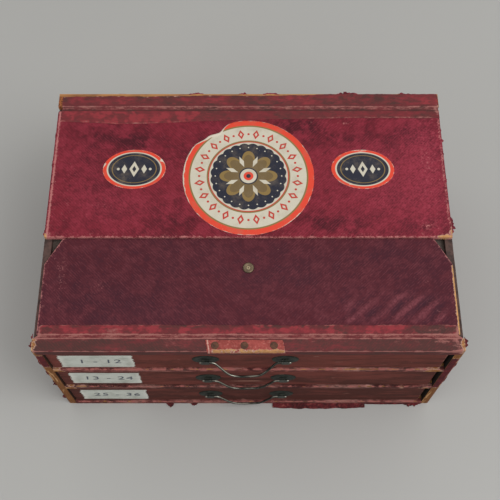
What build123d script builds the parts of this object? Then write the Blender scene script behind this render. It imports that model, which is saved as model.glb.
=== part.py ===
from build123d import *

import os

# A tabletop cabinet for sewing thread: a cloth-covered wooden case with three drawers, and over them a
# shallow well under a rear lid and a front flap, each hung on a strip of book cloth.
# Millimetres. The origin is the centre of the underside, +Z up, the drawers face -Y.

# Case
case_width = 420.0  # over the cloth of both sides
case_depth = 298.0  # from the cloth of the front to the back board's rear face
cloth = 0.5  # book cloth glued over the boards
side_board = 7.5
back_board = 4.0
bottom_board = 7.0
shelf_board = 6.5
housing_depth = 3.0  # how far each shelf is let into the sides
bottom_cloth_rise = 0.5  # of the cloth over the bottom board's front edge, above its underside
number_of_drawers = 3
top_opening = 50.0
lower_opening = 57.0
well_floor_board = 2.5
well_depth = 6.0

# Rails, lid and flap
front_rail_depth = 12.7
arris_radius = 2.5  # of the case's top front edge, over its cloth
back_rail_depth = 13.0
lid_board = 4.7
flap_board = 2.7
resting_gap = 0.3  # under the lid and the flap
lid_overhang_gap = 0.5  # how far each end of the lid stays inside the case's width
flap_inset = 3.5  # how far each end of the flap stays inside the case's width
lid_depth = 154.5
rear_groove = 5.5
front_groove = 4.1
meeting_gap = 0.4  # between the lid's front edge and the flap's rear edge
flap_corner_across = 16.5
flap_corner_along = 29.0
board_corner_radius = 3.0

# Hinge cloth
rear_hinge_cloth = 12.5  # width of the band glued on the lid
front_hinge_cloth = 9.8  # width of the band glued on the flap
hinge_cloth_thickness = 0.5
hinge_parting = 0.5  # between the two halves of a band, in the middle of its groove
hinge_end_inset = 4.0

# Labels of printed paper
label_paper = 0.2
round_label_front_margin = 2.25  # between the label and the lid's front edge
round_label_rear_gap = 0.25  # between the label and the hinge cloth
oval_label_width = 67.0
oval_label_height = 48.0
oval_label_from_lid_back = 74.0
oval_label_spacing = 243.0

# Press stud in the flap
stud_from_flap_back = 33.1
stud_diameter = 11.6
stud_ring_height = 1.4
stud_ring_bevel = 0.6
stud_dimple_diameter = 5.4
stud_barrel_diameter = 3.6
stud_barrel_standing = 0.5
stud_washer_diameter = 10.0
stud_washer_thickness = 0.8

# Torn strap and its tacks
strap_length = 75.0
strap_centre = -2.2
strap_width = 11.0
strap_thickness = 0.8
strap_turn_down = 6.5
tack_spacing = 28.5
tack_centre = -3.8
tack_from_front = 5.2
tack_head_diameter = 7.8
tack_head_height = 0.7
tack_shank_thickness = 1.5
tack_shank_length = 10.0

# Cut nails in the case
nail_thickness = 1.4
nail_head_width = 3.0
nail_head_height = 0.8
nail_length = 24.0
nail_end_distance = 40.0
nails_per_board_end = 2

# Drawers
drawer_recess = 2.5  # drawer face behind the case's front
left_gap = 1.0
right_gap = 4.5
gap_below_drawer = 0.4
gap_above_drawer = 0.8
gap_behind_drawer = 4.0
drawer_front_board = 8.0
drawer_side_board = 5.0
drawer_back_board = 5.0
drawer_bottom_board = 2.5
drawer_bottom_rise = 1.5
drawer_bottom_groove = 2.0
drawer_side_step_down = 4.0

# Bail pulls
pull_offset = -1.25  # the pull's centre from the drawer's centre
top_pull_drop = 21.0  # pivot below the top of the opening
lower_pull_drop = 28.0
pull_span = 80.0  # between the two eyes
plate_width = 27.0
plate_height = 21.0
plate_end_radius = 8.0
plate_thickness = 1.2
plate_bevel = 0.7
wire_diameter = 2.4
wire_sides = 10  # the bent wire is drawn with this many flats
pivot_standing = 4.0  # pivot in front of the drawer's face
eye_width = 8.0
eye_strap = 0.7
pin_running_gap = 0.05
clinch_length = 7.0
slot_gap = 0.1
pin_projection = 2.0  # pin beyond the eye
shoulder_gap = 1.2  # straight pin between the eye and the shoulder bend
shoulder_radius = 8.0
grip_radius = 14.0
shoulder_turn = 55.0  # degrees
bail_drop = 21.0
top_bail_lean = 24.0  # degrees forward of hanging straight down
lower_bail_lean = 7.0

# Tape labels on the drawers
tape_length = 72.0
tape_height = 37.5
tape_thickness = 0.15
tape_margin = 12.5
tape_drop = 10.0  # top edge below the top of the opening, more on each drawer further down
tape_drop_step = 2.0

# Places that follow from the sizes above
half_width = case_width / 2
front = -case_depth / 2
back = case_depth / 2
board_front = front + cloth
board_side = half_width - cloth
inner_side = board_side - side_board
back_inner = back - back_board
drawer_heights = [top_opening] + [lower_opening] * (number_of_drawers - 1)
openings_height = sum(drawer_heights) + shelf_board * (number_of_drawers - 1)
stack_top = bottom_board + openings_height
well_floor_top = stack_top + well_floor_board
rim = well_floor_top + well_depth
lid_underside = rim + resting_gap
lid_board_top = lid_underside + lid_board
lid_top = lid_board_top + cloth
flap_board_top = lid_underside + flap_board
flap_top = flap_board_top + cloth
front_rail_back = board_front + front_rail_depth - cloth
flap_front = front_rail_back + front_groove
back_rail_front = back_inner - back_rail_depth
lid_back = back_rail_front - rear_groove
lid_front = lid_back - lid_depth
flap_back = lid_front - meeting_gap
lid_half = half_width - lid_overhang_gap
flap_half = half_width - flap_inset
rear_groove_middle = (lid_back + back_rail_front) / 2
front_groove_middle = (front_rail_back + flap_front) / 2
face = front + drawer_recess
drawer_left = -inner_side + left_gap
drawer_right = inner_side - right_gap
drawer_centre = (drawer_left + drawer_right) / 2
drawer_back = back_inner - gap_behind_drawer
pull_centre = drawer_centre + pull_offset
wire_radius = wire_diameter / 2


def board(low, high):
    """A board between its lowest and highest corner."""
    size = [end - start for start, end in zip(low, high)]
    return Pos(*low) * Box(*size, align=(Align.MIN, Align.MIN, Align.MIN))


def disc(diameter, low, high, x, y):
    """An upright disc or rod from one height to another."""
    base = Align.MIN
    return Pos(x, y, low) * Cylinder(diameter / 2, high - low, align=(Align.CENTER, Align.CENTER, base))


def save(name, *solids):
    """Writes one node, with all of its solids."""
    shape = solids[0] if len(solids) == 1 else Compound(children=list(solids))
    export_step(shape, f"parts/{name}.step")


def opening_top(number):
    """Height of the top of a drawer's opening. Drawer 1 is the top one."""
    above = drawer_heights[: number - 1]
    return stack_top - sum(above) - shelf_board * len(above)


def opening_bottom(number):
    return opening_top(number) - drawer_heights[number - 1]


# ---------------------------------------------------------------- case


def shelf(top):
    """A shelf between two drawers, let into a groove in each side."""
    reach = inner_side + housing_depth
    return board((-reach, board_front, top - shelf_board), (reach, back_inner, top))


def well_floor():
    reach = inner_side + housing_depth
    return board((-reach, front_rail_back, stack_top), (reach, back_rail_front, well_floor_top))


def bottom():
    return board((-inner_side, board_front, 0), (inner_side, back_inner, bottom_board))


def nails_at(height):
    """Square cut nails through both sides into the ends of one board."""
    nails = []
    span = back_inner - board_front - 2 * nail_end_distance
    for hand in (-1, 1):
        for step in range(nails_per_board_end):
            along = board_front + nail_end_distance + span * step / max(nails_per_board_end - 1, 1)
            shank = Box(nail_length, nail_thickness, nail_thickness)
            head = Box(nail_head_height, nail_thickness, nail_head_width)
            shank_place = Pos(hand * (board_side - nail_length / 2), along, height)
            head_place = Pos(hand * (board_side - nail_head_height / 2), along, height)
            nails.append(shank_place * shank + head_place * head)
    return nails


def side(hand, shelves, nails):
    """One side board, grooved for the shelves and the well's floor, and bored for the nails."""
    outer = hand * board_side
    inner = hand * inner_side
    low = (min(outer, inner), board_front, 0)
    high = (max(outer, inner), back_inner, rim)
    return board(low, high) - shelves - nails


def side_cloth(hand):
    """Cloth over a side's outer face, turned round its front edge."""
    outer = hand * half_width
    inner = hand * inner_side
    low = (min(outer, inner), front, 0)
    high = (max(outer, inner), back_inner, rim)
    skin = board(low, high)
    return skin - board((-board_side, board_front, 0), (board_side, back_inner, rim))


def front_rail():
    return board((-inner_side, board_front, stack_top), (inner_side, front_rail_back, rim))


def rounded_front(block, radius):
    """The block with its top front edge rounded."""
    edge = block.edges().filter_by(Axis.X).group_by(Axis.Z)[-1].sort_by(Axis.Y)[0]
    return fillet(edge, radius)


def front_cap():
    """The strip over the front rail and the sides' front ends, rounded along its top front edge."""
    strip = board((-half_width, board_front, rim), (half_width, front_rail_back, flap_top))
    return rounded_front(strip, arris_radius - cloth)


def rail_cloth():
    """Cloth over the front of the rail and over the rounded edge of the strip above it."""
    rail_face = board((-inner_side, front, stack_top), (inner_side, board_front, rim))
    top = flap_top + hinge_cloth_thickness
    block = board((-half_width, front, rim), (half_width, front_rail_back, top))
    over_edge = rounded_front(block, arris_radius)
    laid_flat = board((-half_width, front + arris_radius, rim), (half_width, front_rail_back, top))
    return rail_face + (over_edge - laid_flat - front_cap())


def edge_cloth(low, high):
    """Cloth over the front edge of a board that lies between the sides."""
    return board((-inner_side, front, low), (inner_side, board_front, high))


def back_rail():
    return board((-inner_side, back_rail_front, stack_top), (inner_side, back_inner, rim))


def back_cap():
    """The strip over the back rail and the sides' rear ends."""
    return board((-half_width, back_rail_front, rim), (half_width, back_inner, lid_top))


def back_of_case():
    return board((-half_width, back_inner, 0), (half_width, back, lid_top))


# ---------------------------------------------------------------- lid and flap


def lid_outline(margin):
    """The lid from above, smaller by a margin on every side."""
    width = 2 * (lid_half - margin)
    depth = lid_depth - 2 * margin
    middle = (lid_front + lid_back) / 2
    return Pos(0, middle) * RectangleRounded(width, depth, board_corner_radius - margin)


def flap_outline(margin):
    """The flap from above, with its rear corners cut away, smaller by a margin on every side."""
    half = flap_half - margin
    low = flap_front + margin
    high = flap_back - margin
    cut_across = flap_corner_across
    cut_along = flap_corner_along
    points = [
        (-half, low),
        (half, low),
        (half, high - cut_along),
        (half - cut_across, high),
        (cut_across - half, high),
        (-half, high - cut_along),
    ]
    outline = make_face(Polyline(*points, close=True))
    return fillet(outline.vertices(), board_corner_radius - margin)


def slab(outline, low, high):
    return extrude(Pos(0, 0, low) * outline, high - low)


def covered_board(outline, board_top, cloth_top):
    """A board and the cloth over its top and round its edges."""
    wood = slab(outline(cloth), lid_underside, board_top)
    skin = slab(outline(0), lid_underside, cloth_top) - wood
    return wood, skin


def hinge_band(front_edge, back_edge, top_of_board, half):
    """One half of a hinge cloth, glued flat on what it joins."""
    reach = half - hinge_end_inset
    low = (-reach, front_edge, top_of_board)
    high = (reach, back_edge, top_of_board + hinge_cloth_thickness)
    return board(low, high)


def round_label():
    """A label that fills the lid between its front edge and the hinge cloth."""
    nearest = lid_front + round_label_front_margin
    farthest = lid_back - rear_hinge_cloth - round_label_rear_gap
    return disc(farthest - nearest, lid_top, lid_top + label_paper, 0, (nearest + farthest) / 2)


def oval_labels():
    labels = []
    for hand in (-1, 1):
        place = Pos(hand * oval_label_spacing / 2, lid_back - oval_label_from_lid_back, lid_top)
        labels.append(place * extrude(Ellipse(oval_label_width / 2, oval_label_height / 2), label_paper))
    return labels


# ---------------------------------------------------------------- press stud


def stud_ring(x, y):
    """A pressed brass ring with a bevelled rim and a dimple."""
    ring = disc(stud_diameter, flap_top, flap_top + stud_ring_height, x, y)
    ring -= disc(stud_dimple_diameter, flap_top, flap_top + stud_ring_height, x, y)
    top_edges = ring.faces().sort_by(Axis.Z)[-1].edges()
    return chamfer(top_edges, stud_ring_bevel)


def stud_barrel(x, y):
    """The rivet through the flap, spread under the washer."""
    bottom_of_washer = lid_underside - stud_washer_thickness
    shank = disc(stud_barrel_diameter, bottom_of_washer, flap_top, x, y)
    collar = disc(stud_dimple_diameter, flap_top, flap_top + stud_barrel_standing, x, y)
    return shank + collar


def stud_washer(x, y):
    ring = disc(stud_washer_diameter, lid_underside - stud_washer_thickness, lid_underside, x, y)
    return ring - disc(stud_barrel_diameter, lid_underside - stud_washer_thickness, lid_underside, x, y)


# ---------------------------------------------------------------- strap and tacks


def strap_stub():
    """What is left of a torn strap: laid on the hinge cloth and turned down over the front."""
    low = flap_top + hinge_cloth_thickness
    high = low + strap_thickness
    start = strap_centre - strap_length / 2
    end = strap_centre + strap_length / 2
    hem = high - strap_turn_down
    rear = front + strap_width
    outside = board((start, front - strap_thickness, hem), (end, rear, high))
    inside = board((start, front, hem), (end, rear, low))
    return rounded_front(outside, arris_radius + strap_thickness) - rounded_front(inside, arris_radius)


def tacks():
    """Three cut tacks in a row, with flat round heads and square shanks."""
    rows = []
    seat = flap_top + hinge_cloth_thickness + strap_thickness
    for step in (-1, 0, 1):
        x = tack_centre + step * tack_spacing
        y = front + tack_from_front
        head = disc(tack_head_diameter, seat, seat + tack_head_height, x, y)
        half = tack_shank_thickness / 2
        shank = board((x - half, y - half, seat - tack_shank_length), (x + half, y + half, seat))
        rows.append(head + shank)
    return rows


# ---------------------------------------------------------------- drawers


def drawer_span(number):
    """Lowest and highest point of a drawer in its opening."""
    return opening_bottom(number) + gap_below_drawer, opening_top(number) - gap_above_drawer


def drawer_bottom(number):
    """A thin panel in grooves in the front and the sides, carried under the back."""
    low = drawer_span(number)[0] + drawer_bottom_rise
    reach = drawer_side_board - drawer_bottom_groove
    front_edge = face + cloth + drawer_front_board - drawer_bottom_groove
    return board(
        (drawer_left + reach, front_edge, low),
        (drawer_right - reach, drawer_back, low + drawer_bottom_board),
    )


def drawer_front(number, cuts):
    low, high = drawer_span(number)
    wood = board((drawer_left, face + cloth, low), (drawer_right, face + cloth + drawer_front_board, high))
    return wood - cuts


def drawer_cloth(number, cuts):
    low, high = drawer_span(number)
    return board((drawer_left, face, low), (drawer_right, face + cloth, high)) - cuts


def drawer_side(number, hand, panel):
    low, high = drawer_span(number)
    outer = drawer_left if hand < 0 else drawer_right
    inner = outer - hand * drawer_side_board
    start = (min(outer, inner), face + cloth + drawer_front_board, low)
    end = (max(outer, inner), drawer_back, high - drawer_side_step_down)
    return board(start, end) - panel


def drawer_rear(number, panel):
    low, high = drawer_span(number)
    start = (drawer_left + drawer_side_board, drawer_back - drawer_back_board, low + drawer_bottom_rise)
    end = (drawer_right - drawer_side_board, drawer_back, high - drawer_side_step_down)
    return board(start, end) - panel


def tape_label(number):
    left = drawer_left + tape_margin
    top = opening_top(number) - tape_drop - tape_drop_step * (number - 1)
    return board((left, face - tape_thickness, top - tape_height), (left + tape_length, face, top))


# ---------------------------------------------------------------- bail pulls


def pivot_height(number):
    return opening_top(number) - (top_pull_drop if number == 1 else lower_pull_drop)


def strap_eye():
    """A metal strap folded round the pin, passed through plate and drawer front, and clinched behind.

    Drawn from the side about the pin's centre, with the drawer towards +Y.
    """
    hole = wire_radius + pin_running_gap
    inner_face = pivot_standing + cloth + drawer_front_board
    bow = Circle(hole + eye_strap)
    legs = Pos(inner_face / 2, 0) * Rectangle(inner_face, 2 * eye_strap)
    clinch = Pos(inner_face + eye_strap / 2, 0) * Rectangle(eye_strap, 2 * clinch_length)
    profile = bow + legs + clinch - Circle(hole)
    return extrude(Plane.YZ * profile, eye_width / 2, both=True)


def oval(width, height, end_radius):
    """A four-centred oval: two end arcs and two flatter side arcs, tangent where they meet."""
    half_long = width / 2
    half_short = height / 2
    end_centre = half_long - end_radius
    side_radius = (end_centre**2 + half_short**2 - end_radius**2) / (2 * (half_short - end_radius))
    outward = Vector(end_centre, side_radius - half_short).normalized()
    x = end_centre + end_radius * outward.X
    y = end_radius * outward.Y
    arcs = [
        ThreePointArc((-x, y), (0, half_short), (x, y)),
        ThreePointArc((x, y), (half_long, 0), (x, -y)),
        ThreePointArc((x, -y), (0, -half_short), (-x, -y)),
        ThreePointArc((-x, -y), (-half_long, 0), (-x, y)),
    ]
    return make_face(arcs)


def plate():
    """An oval plate with a bevelled edge, drawn about its centre, its back on the XZ plane."""
    solid = extrude(Plane.XZ * oval(plate_width, plate_height, plate_end_radius), plate_thickness)
    rim_edge = solid.faces().sort_by(Axis.Y)[0].edges()
    return chamfer(rim_edge, plate_bevel)


def slot():
    """The slot for a strap eye's two legs."""
    deep = drawer_front_board + cloth + plate_thickness
    return Pos(0, deep / 2 - plate_thickness, 0) * Box(
        eye_width + 2 * slot_gap, deep, 2 * eye_strap + 2 * slot_gap
    )


def bail():
    """The swan-necked bail, hanging straight down from its pins, drawn about the middle of the pivot line."""
    pin_end = pull_span / 2 + eye_width / 2 + pin_projection
    pin_inner = pull_span / 2 - eye_width / 2 - shoulder_gap
    turned_drop = (shoulder_radius + grip_radius) * (1 - Vector(1, 0).rotate(Axis.Z, shoulder_turn).X)
    slope = Vector(1, 0).rotate(Axis.Z, -shoulder_turn)
    neck_length = (bail_drop - turned_drop) / -slope.Y
    with BuildLine() as line:
        pin = Line((-pin_end, 0), (-pin_inner, 0))
        shoulder = JernArc(pin @ 1, pin % 1, shoulder_radius, -shoulder_turn)
        neck = Line(shoulder @ 1, (shoulder @ 1) + (shoulder % 1) * neck_length)
        bend = JernArc(neck @ 1, neck % 1, grip_radius, shoulder_turn)
        Line(bend @ 1, (0, -bail_drop))
        mirror(line.line, about=Plane.YZ)
    path = Plane.XZ * line.wire()
    start = Plane(origin=path @ 0, z_dir=path % 0)
    return sweep(start * RegularPolygon(wire_radius, wire_sides), path=path)


def pull_places(number):
    """Middle of the pivot line, and the two eyes on it."""
    height = pivot_height(number)
    y = face - pivot_standing
    middle = Pos(pull_centre, y, height)
    eyes = [Pos(pull_centre + hand * pull_span / 2, y, height) for hand in (-1, 1)]
    return middle, eyes


def save_drawer(number):
    name = f"drawer_{number}"
    middle, eyes = pull_places(number)
    plates_back = [Pos(0, pivot_standing, 0) * eye for eye in eyes]
    cuts = [place * slot() for place in plates_back]
    panel = drawer_bottom(number)
    save(f"{name}_front", drawer_front(number, [*cuts, panel]))
    save(f"{name}_cloth", drawer_cloth(number, cuts))
    save(f"{name}_left_side", drawer_side(number, -1, panel))
    save(f"{name}_right_side", drawer_side(number, 1, panel))
    save(f"{name}_back", drawer_rear(number, panel))
    save(f"{name}_bottom", panel)
    save(f"{name}_tape_label", tape_label(number))
    save(f"{name}_pull_plates", *[place * plate() - place * slot() for place in plates_back])
    save(f"{name}_pull_eyes", *[eye * strap_eye() for eye in eyes])
    lean = top_bail_lean if number == 1 else lower_bail_lean
    save(f"{name}_bail", middle * Rot(-lean, 0, 0) * bail())


def save_case():
    shelves = [shelf(opening_bottom(number)) for number in range(1, number_of_drawers)]
    floor = well_floor()
    base = bottom()
    nail_heights = [bottom_board / 2]
    nail_heights += [opening_bottom(number) - shelf_board / 2 for number in range(1, number_of_drawers)]
    nails = [nail for height in nail_heights for nail in nails_at(height)]
    for hand, name in ((-1, "side_left"), (1, "side_right")):
        save(name, side(hand, [*shelves, floor], nails))
    save("side_cloths", side_cloth(-1), side_cloth(1))
    tops = [opening_bottom(number) for number in range(1, number_of_drawers)]
    edges = [edge_cloth(top - shelf_board, top) for top in tops]
    save("edge_cloths", edge_cloth(bottom_cloth_rise, bottom_board), *edges)
    save("case_nails", *nails)
    save("bottom_board", base - nails)
    for number, plank in enumerate(shelves, 1):
        save(f"shelf_{number}", plank - nails)
    save("well_floor", floor)
    save("back_board", back_of_case())
    save("back_rail", back_rail())
    save("back_cap", back_cap())
    save("rear_hinge_cloth_case", rear_case_band())


def rear_case_band():
    front_edge = rear_groove_middle + hinge_parting / 2
    return hinge_band(front_edge, back_inner, lid_top, half_width)


def save_front_rail():
    """The front rail with its cloth, the torn strap and the tacks through them all."""
    points = tacks()
    band_back = front_groove_middle - hinge_parting / 2
    band = hinge_band(front + arris_radius, band_back, flap_top, half_width)
    save("front_rail", front_rail() - points)
    save("front_cap", front_cap() - points)
    save("rail_cloth", rail_cloth())
    save("front_hinge_cloth_case", band - points)
    save("strap_stub", strap_stub() - points)
    save("strap_tacks", *points)


def save_lid():
    wood, skin = covered_board(lid_outline, lid_board_top, lid_top)
    band_back = rear_groove_middle - hinge_parting / 2
    save("lid_board", wood)
    save("lid_cloth", skin)
    save("rear_hinge_cloth_lid", hinge_band(lid_back - rear_hinge_cloth, band_back, lid_top, lid_half))
    save("round_label", round_label())
    save("oval_labels", *oval_labels())


def save_flap():
    wood, skin = covered_board(flap_outline, flap_board_top, flap_top)
    x = 0
    y = flap_back - stud_from_flap_back
    barrel = stud_barrel(x, y)
    band_front = front_groove_middle + hinge_parting / 2
    band = hinge_band(band_front, flap_front + front_hinge_cloth, flap_top, flap_half)
    save("flap_board", wood - barrel)
    save("flap_cloth", skin - barrel)
    save("front_hinge_cloth_flap", band)
    save("stud_ring", stud_ring(x, y))
    save("stud_barrel", barrel)
    save("stud_washer", stud_washer(x, y))


os.makedirs("parts", exist_ok=True)
save_case()
save_front_rail()
save_lid()
save_flap()
for drawer_number in range(1, number_of_drawers + 1):
    save_drawer(drawer_number)
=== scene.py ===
"""A tabletop cabinet for sewing thread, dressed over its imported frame.

Lengths are in millimetres until a mesh, a lamp or a shader takes them.
"""
from math import atan2, copysign, cos, degrees, exp, hypot, pi, radians, sin, sqrt, tan

import bpy
from mathutils import Matrix, Vector, noise


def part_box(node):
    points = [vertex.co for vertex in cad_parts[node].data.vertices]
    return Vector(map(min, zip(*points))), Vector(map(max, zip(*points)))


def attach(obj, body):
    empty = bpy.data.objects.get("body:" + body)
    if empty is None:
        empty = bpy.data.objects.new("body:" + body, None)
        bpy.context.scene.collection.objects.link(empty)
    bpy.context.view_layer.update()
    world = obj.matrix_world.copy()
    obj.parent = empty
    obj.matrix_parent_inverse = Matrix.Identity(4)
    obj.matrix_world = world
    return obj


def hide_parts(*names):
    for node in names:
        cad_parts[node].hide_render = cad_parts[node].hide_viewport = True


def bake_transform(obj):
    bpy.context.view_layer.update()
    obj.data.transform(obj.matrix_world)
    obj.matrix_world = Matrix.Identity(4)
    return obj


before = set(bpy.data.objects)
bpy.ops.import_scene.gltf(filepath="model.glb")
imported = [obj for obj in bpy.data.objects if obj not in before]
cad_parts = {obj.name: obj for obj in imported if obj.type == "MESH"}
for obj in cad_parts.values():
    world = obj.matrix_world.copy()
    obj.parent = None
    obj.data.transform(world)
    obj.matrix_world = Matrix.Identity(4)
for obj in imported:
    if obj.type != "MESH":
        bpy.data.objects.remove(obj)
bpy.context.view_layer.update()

MM = 0.001
DRAWERS = (1, 2, 3)
HANDS = (-1, 1)
EVEN = (1, 1, 1)
WELD = 0.01


# ---------------------------------------------------------------- measures from the frame
def box(node):
    """Lowest and highest corner of a node, in millimetres."""
    low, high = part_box(node)
    return Vector(low) / MM, Vector(high) / MM


lid_low, lid_high = box("lid_cloth")
flap_low, flap_high = box("flap_cloth")
front_cap_high = box("front_cap")[1]
back_cap_low, back_cap_high = box("back_cap")
rail_low, rail_high = box("rail_cloth")
front_band_low, front_band_high = box("front_hinge_cloth_case")
flap_band_high = box("front_hinge_cloth_flap")[1]
rear_band_high = box("rear_hinge_cloth_case")[1]
lid_band_low = box("rear_hinge_cloth_lid")[0]
sides_high = box("side_cloths")[1]
left_board_high = box("side_left")[1]
back_low, back_high = box("back_board")
case_front = rail_low.y
label_low, label_high = box("round_label")
label_centre = (label_low + label_high) / 2
label_radius = (label_high.x - label_low.x) / 2
ovals_low, ovals_high = box("oval_labels")
oval_half = Vector((33.5, (ovals_high.y - ovals_low.y) / 2))
oval_offset = ovals_high.x - oval_half.x
oval_middle = (ovals_low.y + ovals_high.y) / 2


# ---------------------------------------------------------------- arithmetic
def near(distance, reach):
    """1 at no distance, falling to 0 a little past the reach."""
    return exp(-((distance / reach) ** 2))


def between(value, low, high):
    """0 below low, 1 above high, smooth between."""
    t = min(max((value - low) / (high - low), 0.0), 1.0)
    return t * t * (3 - 2 * t)


def rough(x, y, z, size, octaves=3):
    """Even noise from about -1 to 1, with lumps of the given size."""
    return noise.fractal(Vector((x, y, z)) / size, 1.0, 2.0, octaves)


def lumps(x, y, z, size, octaves=3):
    """The same noise from about 0 to 1."""
    return 0.5 + 0.5 * rough(x, y, z, size, octaves)


def marked(marks, x, y):
    """How strongly a list of marks (x, y, half width, half height, strength) falls on a point."""
    total = 0.0
    for mark_x, mark_y, half_width, half_height, strength in marks:
        across, along = (x - mark_x) / half_width, (y - mark_y) / half_height
        if abs(across) < 2.5 and abs(along) < 2.5:
            total += strength * exp(-across * across - along * along)
    return total


def marked_along(marks, x):
    """How strongly a list of marks (x, half width, strength) falls on a place along an edge."""
    return marked([(mark_x, 0, half_width, 1, strength) for mark_x, half_width, strength in marks], x, 0)


def spaced(low, high, count):
    return [low + (high - low) * i / count for i in range(count + 1)]


def quarter(radius, angles):
    """How far the points of a rounded corner lie in from its first and its second side."""
    return [(radius * (1 - cos(a)), radius * (1 - sin(a))) for a in angles]


def along_line(line, x):
    """The height of a broken line of (x, y) points at x."""
    for (x0, y0), (x1, y1) in zip(line, line[1:]):
        if x <= x1:
            return y0 + (y1 - y0) * max(x - x0, 0.0) / (x1 - x0)
    return line[-1][1]


# ---------------------------------------------------------------- materials
def tone(display):
    """A colour in display values from 0 to 255, as the linear value that the shader takes."""
    linear = [c / 12.92 if c <= 0.04045 else ((c + 0.055) / 1.055) ** 2.4 for c in (v / 255 for v in display)]
    return (*linear, 1.0)


def operator(kind, swapped=False):
    """A method of Value that adds a math node."""
    def work(value, other=0.0):
        return value.paint.math(kind, *((other, value) if swapped else (value, other)))

    return work


class Value:
    """What a node gives out. Arithmetic on it adds nodes to its material."""

    def __init__(self, paint, socket):
        self.paint, self.socket = paint, socket

    __add__ = __radd__ = operator("ADD")
    __mul__ = __rmul__ = operator("MULTIPLY")
    __sub__, __rsub__ = operator("SUBTRACT"), operator("SUBTRACT", True)
    __truediv__, __pow__, __abs__ = operator("DIVIDE"), operator("POWER"), operator("ABSOLUTE")
    sine, cosine, fraction = operator("SINE"), operator("COSINE"), operator("FRACT")

    def clamped(self):
        """The same sum or product, held between 0 and 1."""
        self.socket.node.use_clamp = True
        return self

    def ramp(self, low, high):
        """0 below low, 1 above high, smooth between."""
        inputs = {"Value": self, "From Min": low, "From Max": high}
        return self.paint.new("ShaderNodeMapRange", "Result", inputs, interpolation_type="SMOOTHSTEP")

    def inside(self, limit, soft):
        """1 where it is under the limit, 0 where it is over."""
        return (self - limit).ramp(soft, -soft)


class Paint:
    """One material under construction. Its textures lie in the piece's own space, in metres."""

    def __init__(self, name, ground, rest=False):
        self.material = bpy.data.materials.new(name)
        self.material.use_nodes = True
        self.tree = self.material.node_tree
        self.shader = next(n for n in self.tree.nodes if n.type == "BSDF_PRINCIPLED")
        self.colour = ground
        if rest:
            self.place = self.new("ShaderNodeAttribute", "Vector", attribute_name="rest")
        else:
            self.place = self.new("ShaderNodeTexCoord", "Object")

    def new(self, kind, output, inputs=None, **settings):
        """Adds a node and gives the value of one of its outputs."""
        node = self.tree.nodes.new(kind)
        for setting, value in settings.items():
            setattr(node, setting, value)
        for socket, value in (inputs or {}).items():
            self.feed(node.inputs[socket], value)
        return Value(self, node.outputs[output])

    def feed(self, socket, value):
        if isinstance(value, Value):
            self.tree.links.new(value.socket, socket)
        else:
            socket.default_value = tone(value) if socket.type == "RGBA" else value

    def math(self, operation, a, b=0.0):
        return self.new("ShaderNodeMath", 0, {0: a, 1: b}, operation=operation)

    def noise(self, size, detail=4.0, stretch=EVEN, roughness=0.6, shift=0.0, turn=0.0):
        """Noise from 0 to 1 whose lumps are about size millimetres, longer where stretch is more than 1.

        The stretched directions can be turned by some degrees about the upright.
        """
        place = self.place
        if turn:
            turned = {"Vector": place, "Angle": radians(turn)}
            place = self.new("ShaderNodeVectorRotate", "Vector", turned, rotation_type="Z_AXIS")
        steps = [1 / (size * MM * s) for s in stretch]
        scaled = self.new("ShaderNodeVectorMath", "Vector", {0: place, 1: steps}, operation="MULTIPLY")
        moved = self.new("ShaderNodeVectorMath", "Vector", {0: scaled, 1: (shift, shift, shift)})
        inputs = {"Vector": moved, "Scale": 1.0, "Detail": detail, "Roughness": roughness}
        return self.new("ShaderNodeTexNoise", "Fac", inputs)

    def axis(self, name):
        return self.new("ShaderNodeSeparateXYZ", name, {0: self.place})

    def facing(self, name):
        """How far the surface faces along an axis, from -1 to 1."""
        return self.new("ShaderNodeSeparateXYZ", name, {0: self.new("ShaderNodeTexCoord", "Normal")})

    def wear(self):
        """The four marks painted at the mesh's points: worn; stained, which on the flap also holds painted
        shade; bare; and bright, which holds paler patches and, on the flap, the bail wire and the stud, painted
        highlights.
        """
        colour = self.new("ShaderNodeAttribute", "Color", attribute_name="wear")
        first = [self.new("ShaderNodeSeparateColor", channel, {0: colour}) for channel in range(3)]
        return [*first, self.new("ShaderNodeAttribute", "Alpha", attribute_name="wear")]

    def mix(self, share, a, b):
        return self.new("ShaderNodeMix", 2, {0: share, 6: a, 7: b}, data_type="RGBA")

    def coat(self, share, ink):
        """Lays a share of a colour over the colour so far."""
        self.colour = self.mix(share, self.colour, ink)

    def finish(self, roughness, height=None, depth=0.1, specular=0.3, metallic=0.0):
        """Connects the colour, the roughness and a bump of depth millimetres to the shader."""
        inputs = self.shader.inputs
        self.feed(inputs["Base Color"], self.colour)
        self.feed(inputs["Roughness"], roughness)
        if height is not None:
            bump = {"Strength": 1.0, "Distance": depth * MM, "Height": height}
            self.feed(inputs["Normal"], self.new("ShaderNodeBump", "Normal", bump))
        inputs["Specular IOR Level"].default_value = specular
        inputs["Metallic"].default_value = metallic
        return self.material


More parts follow.
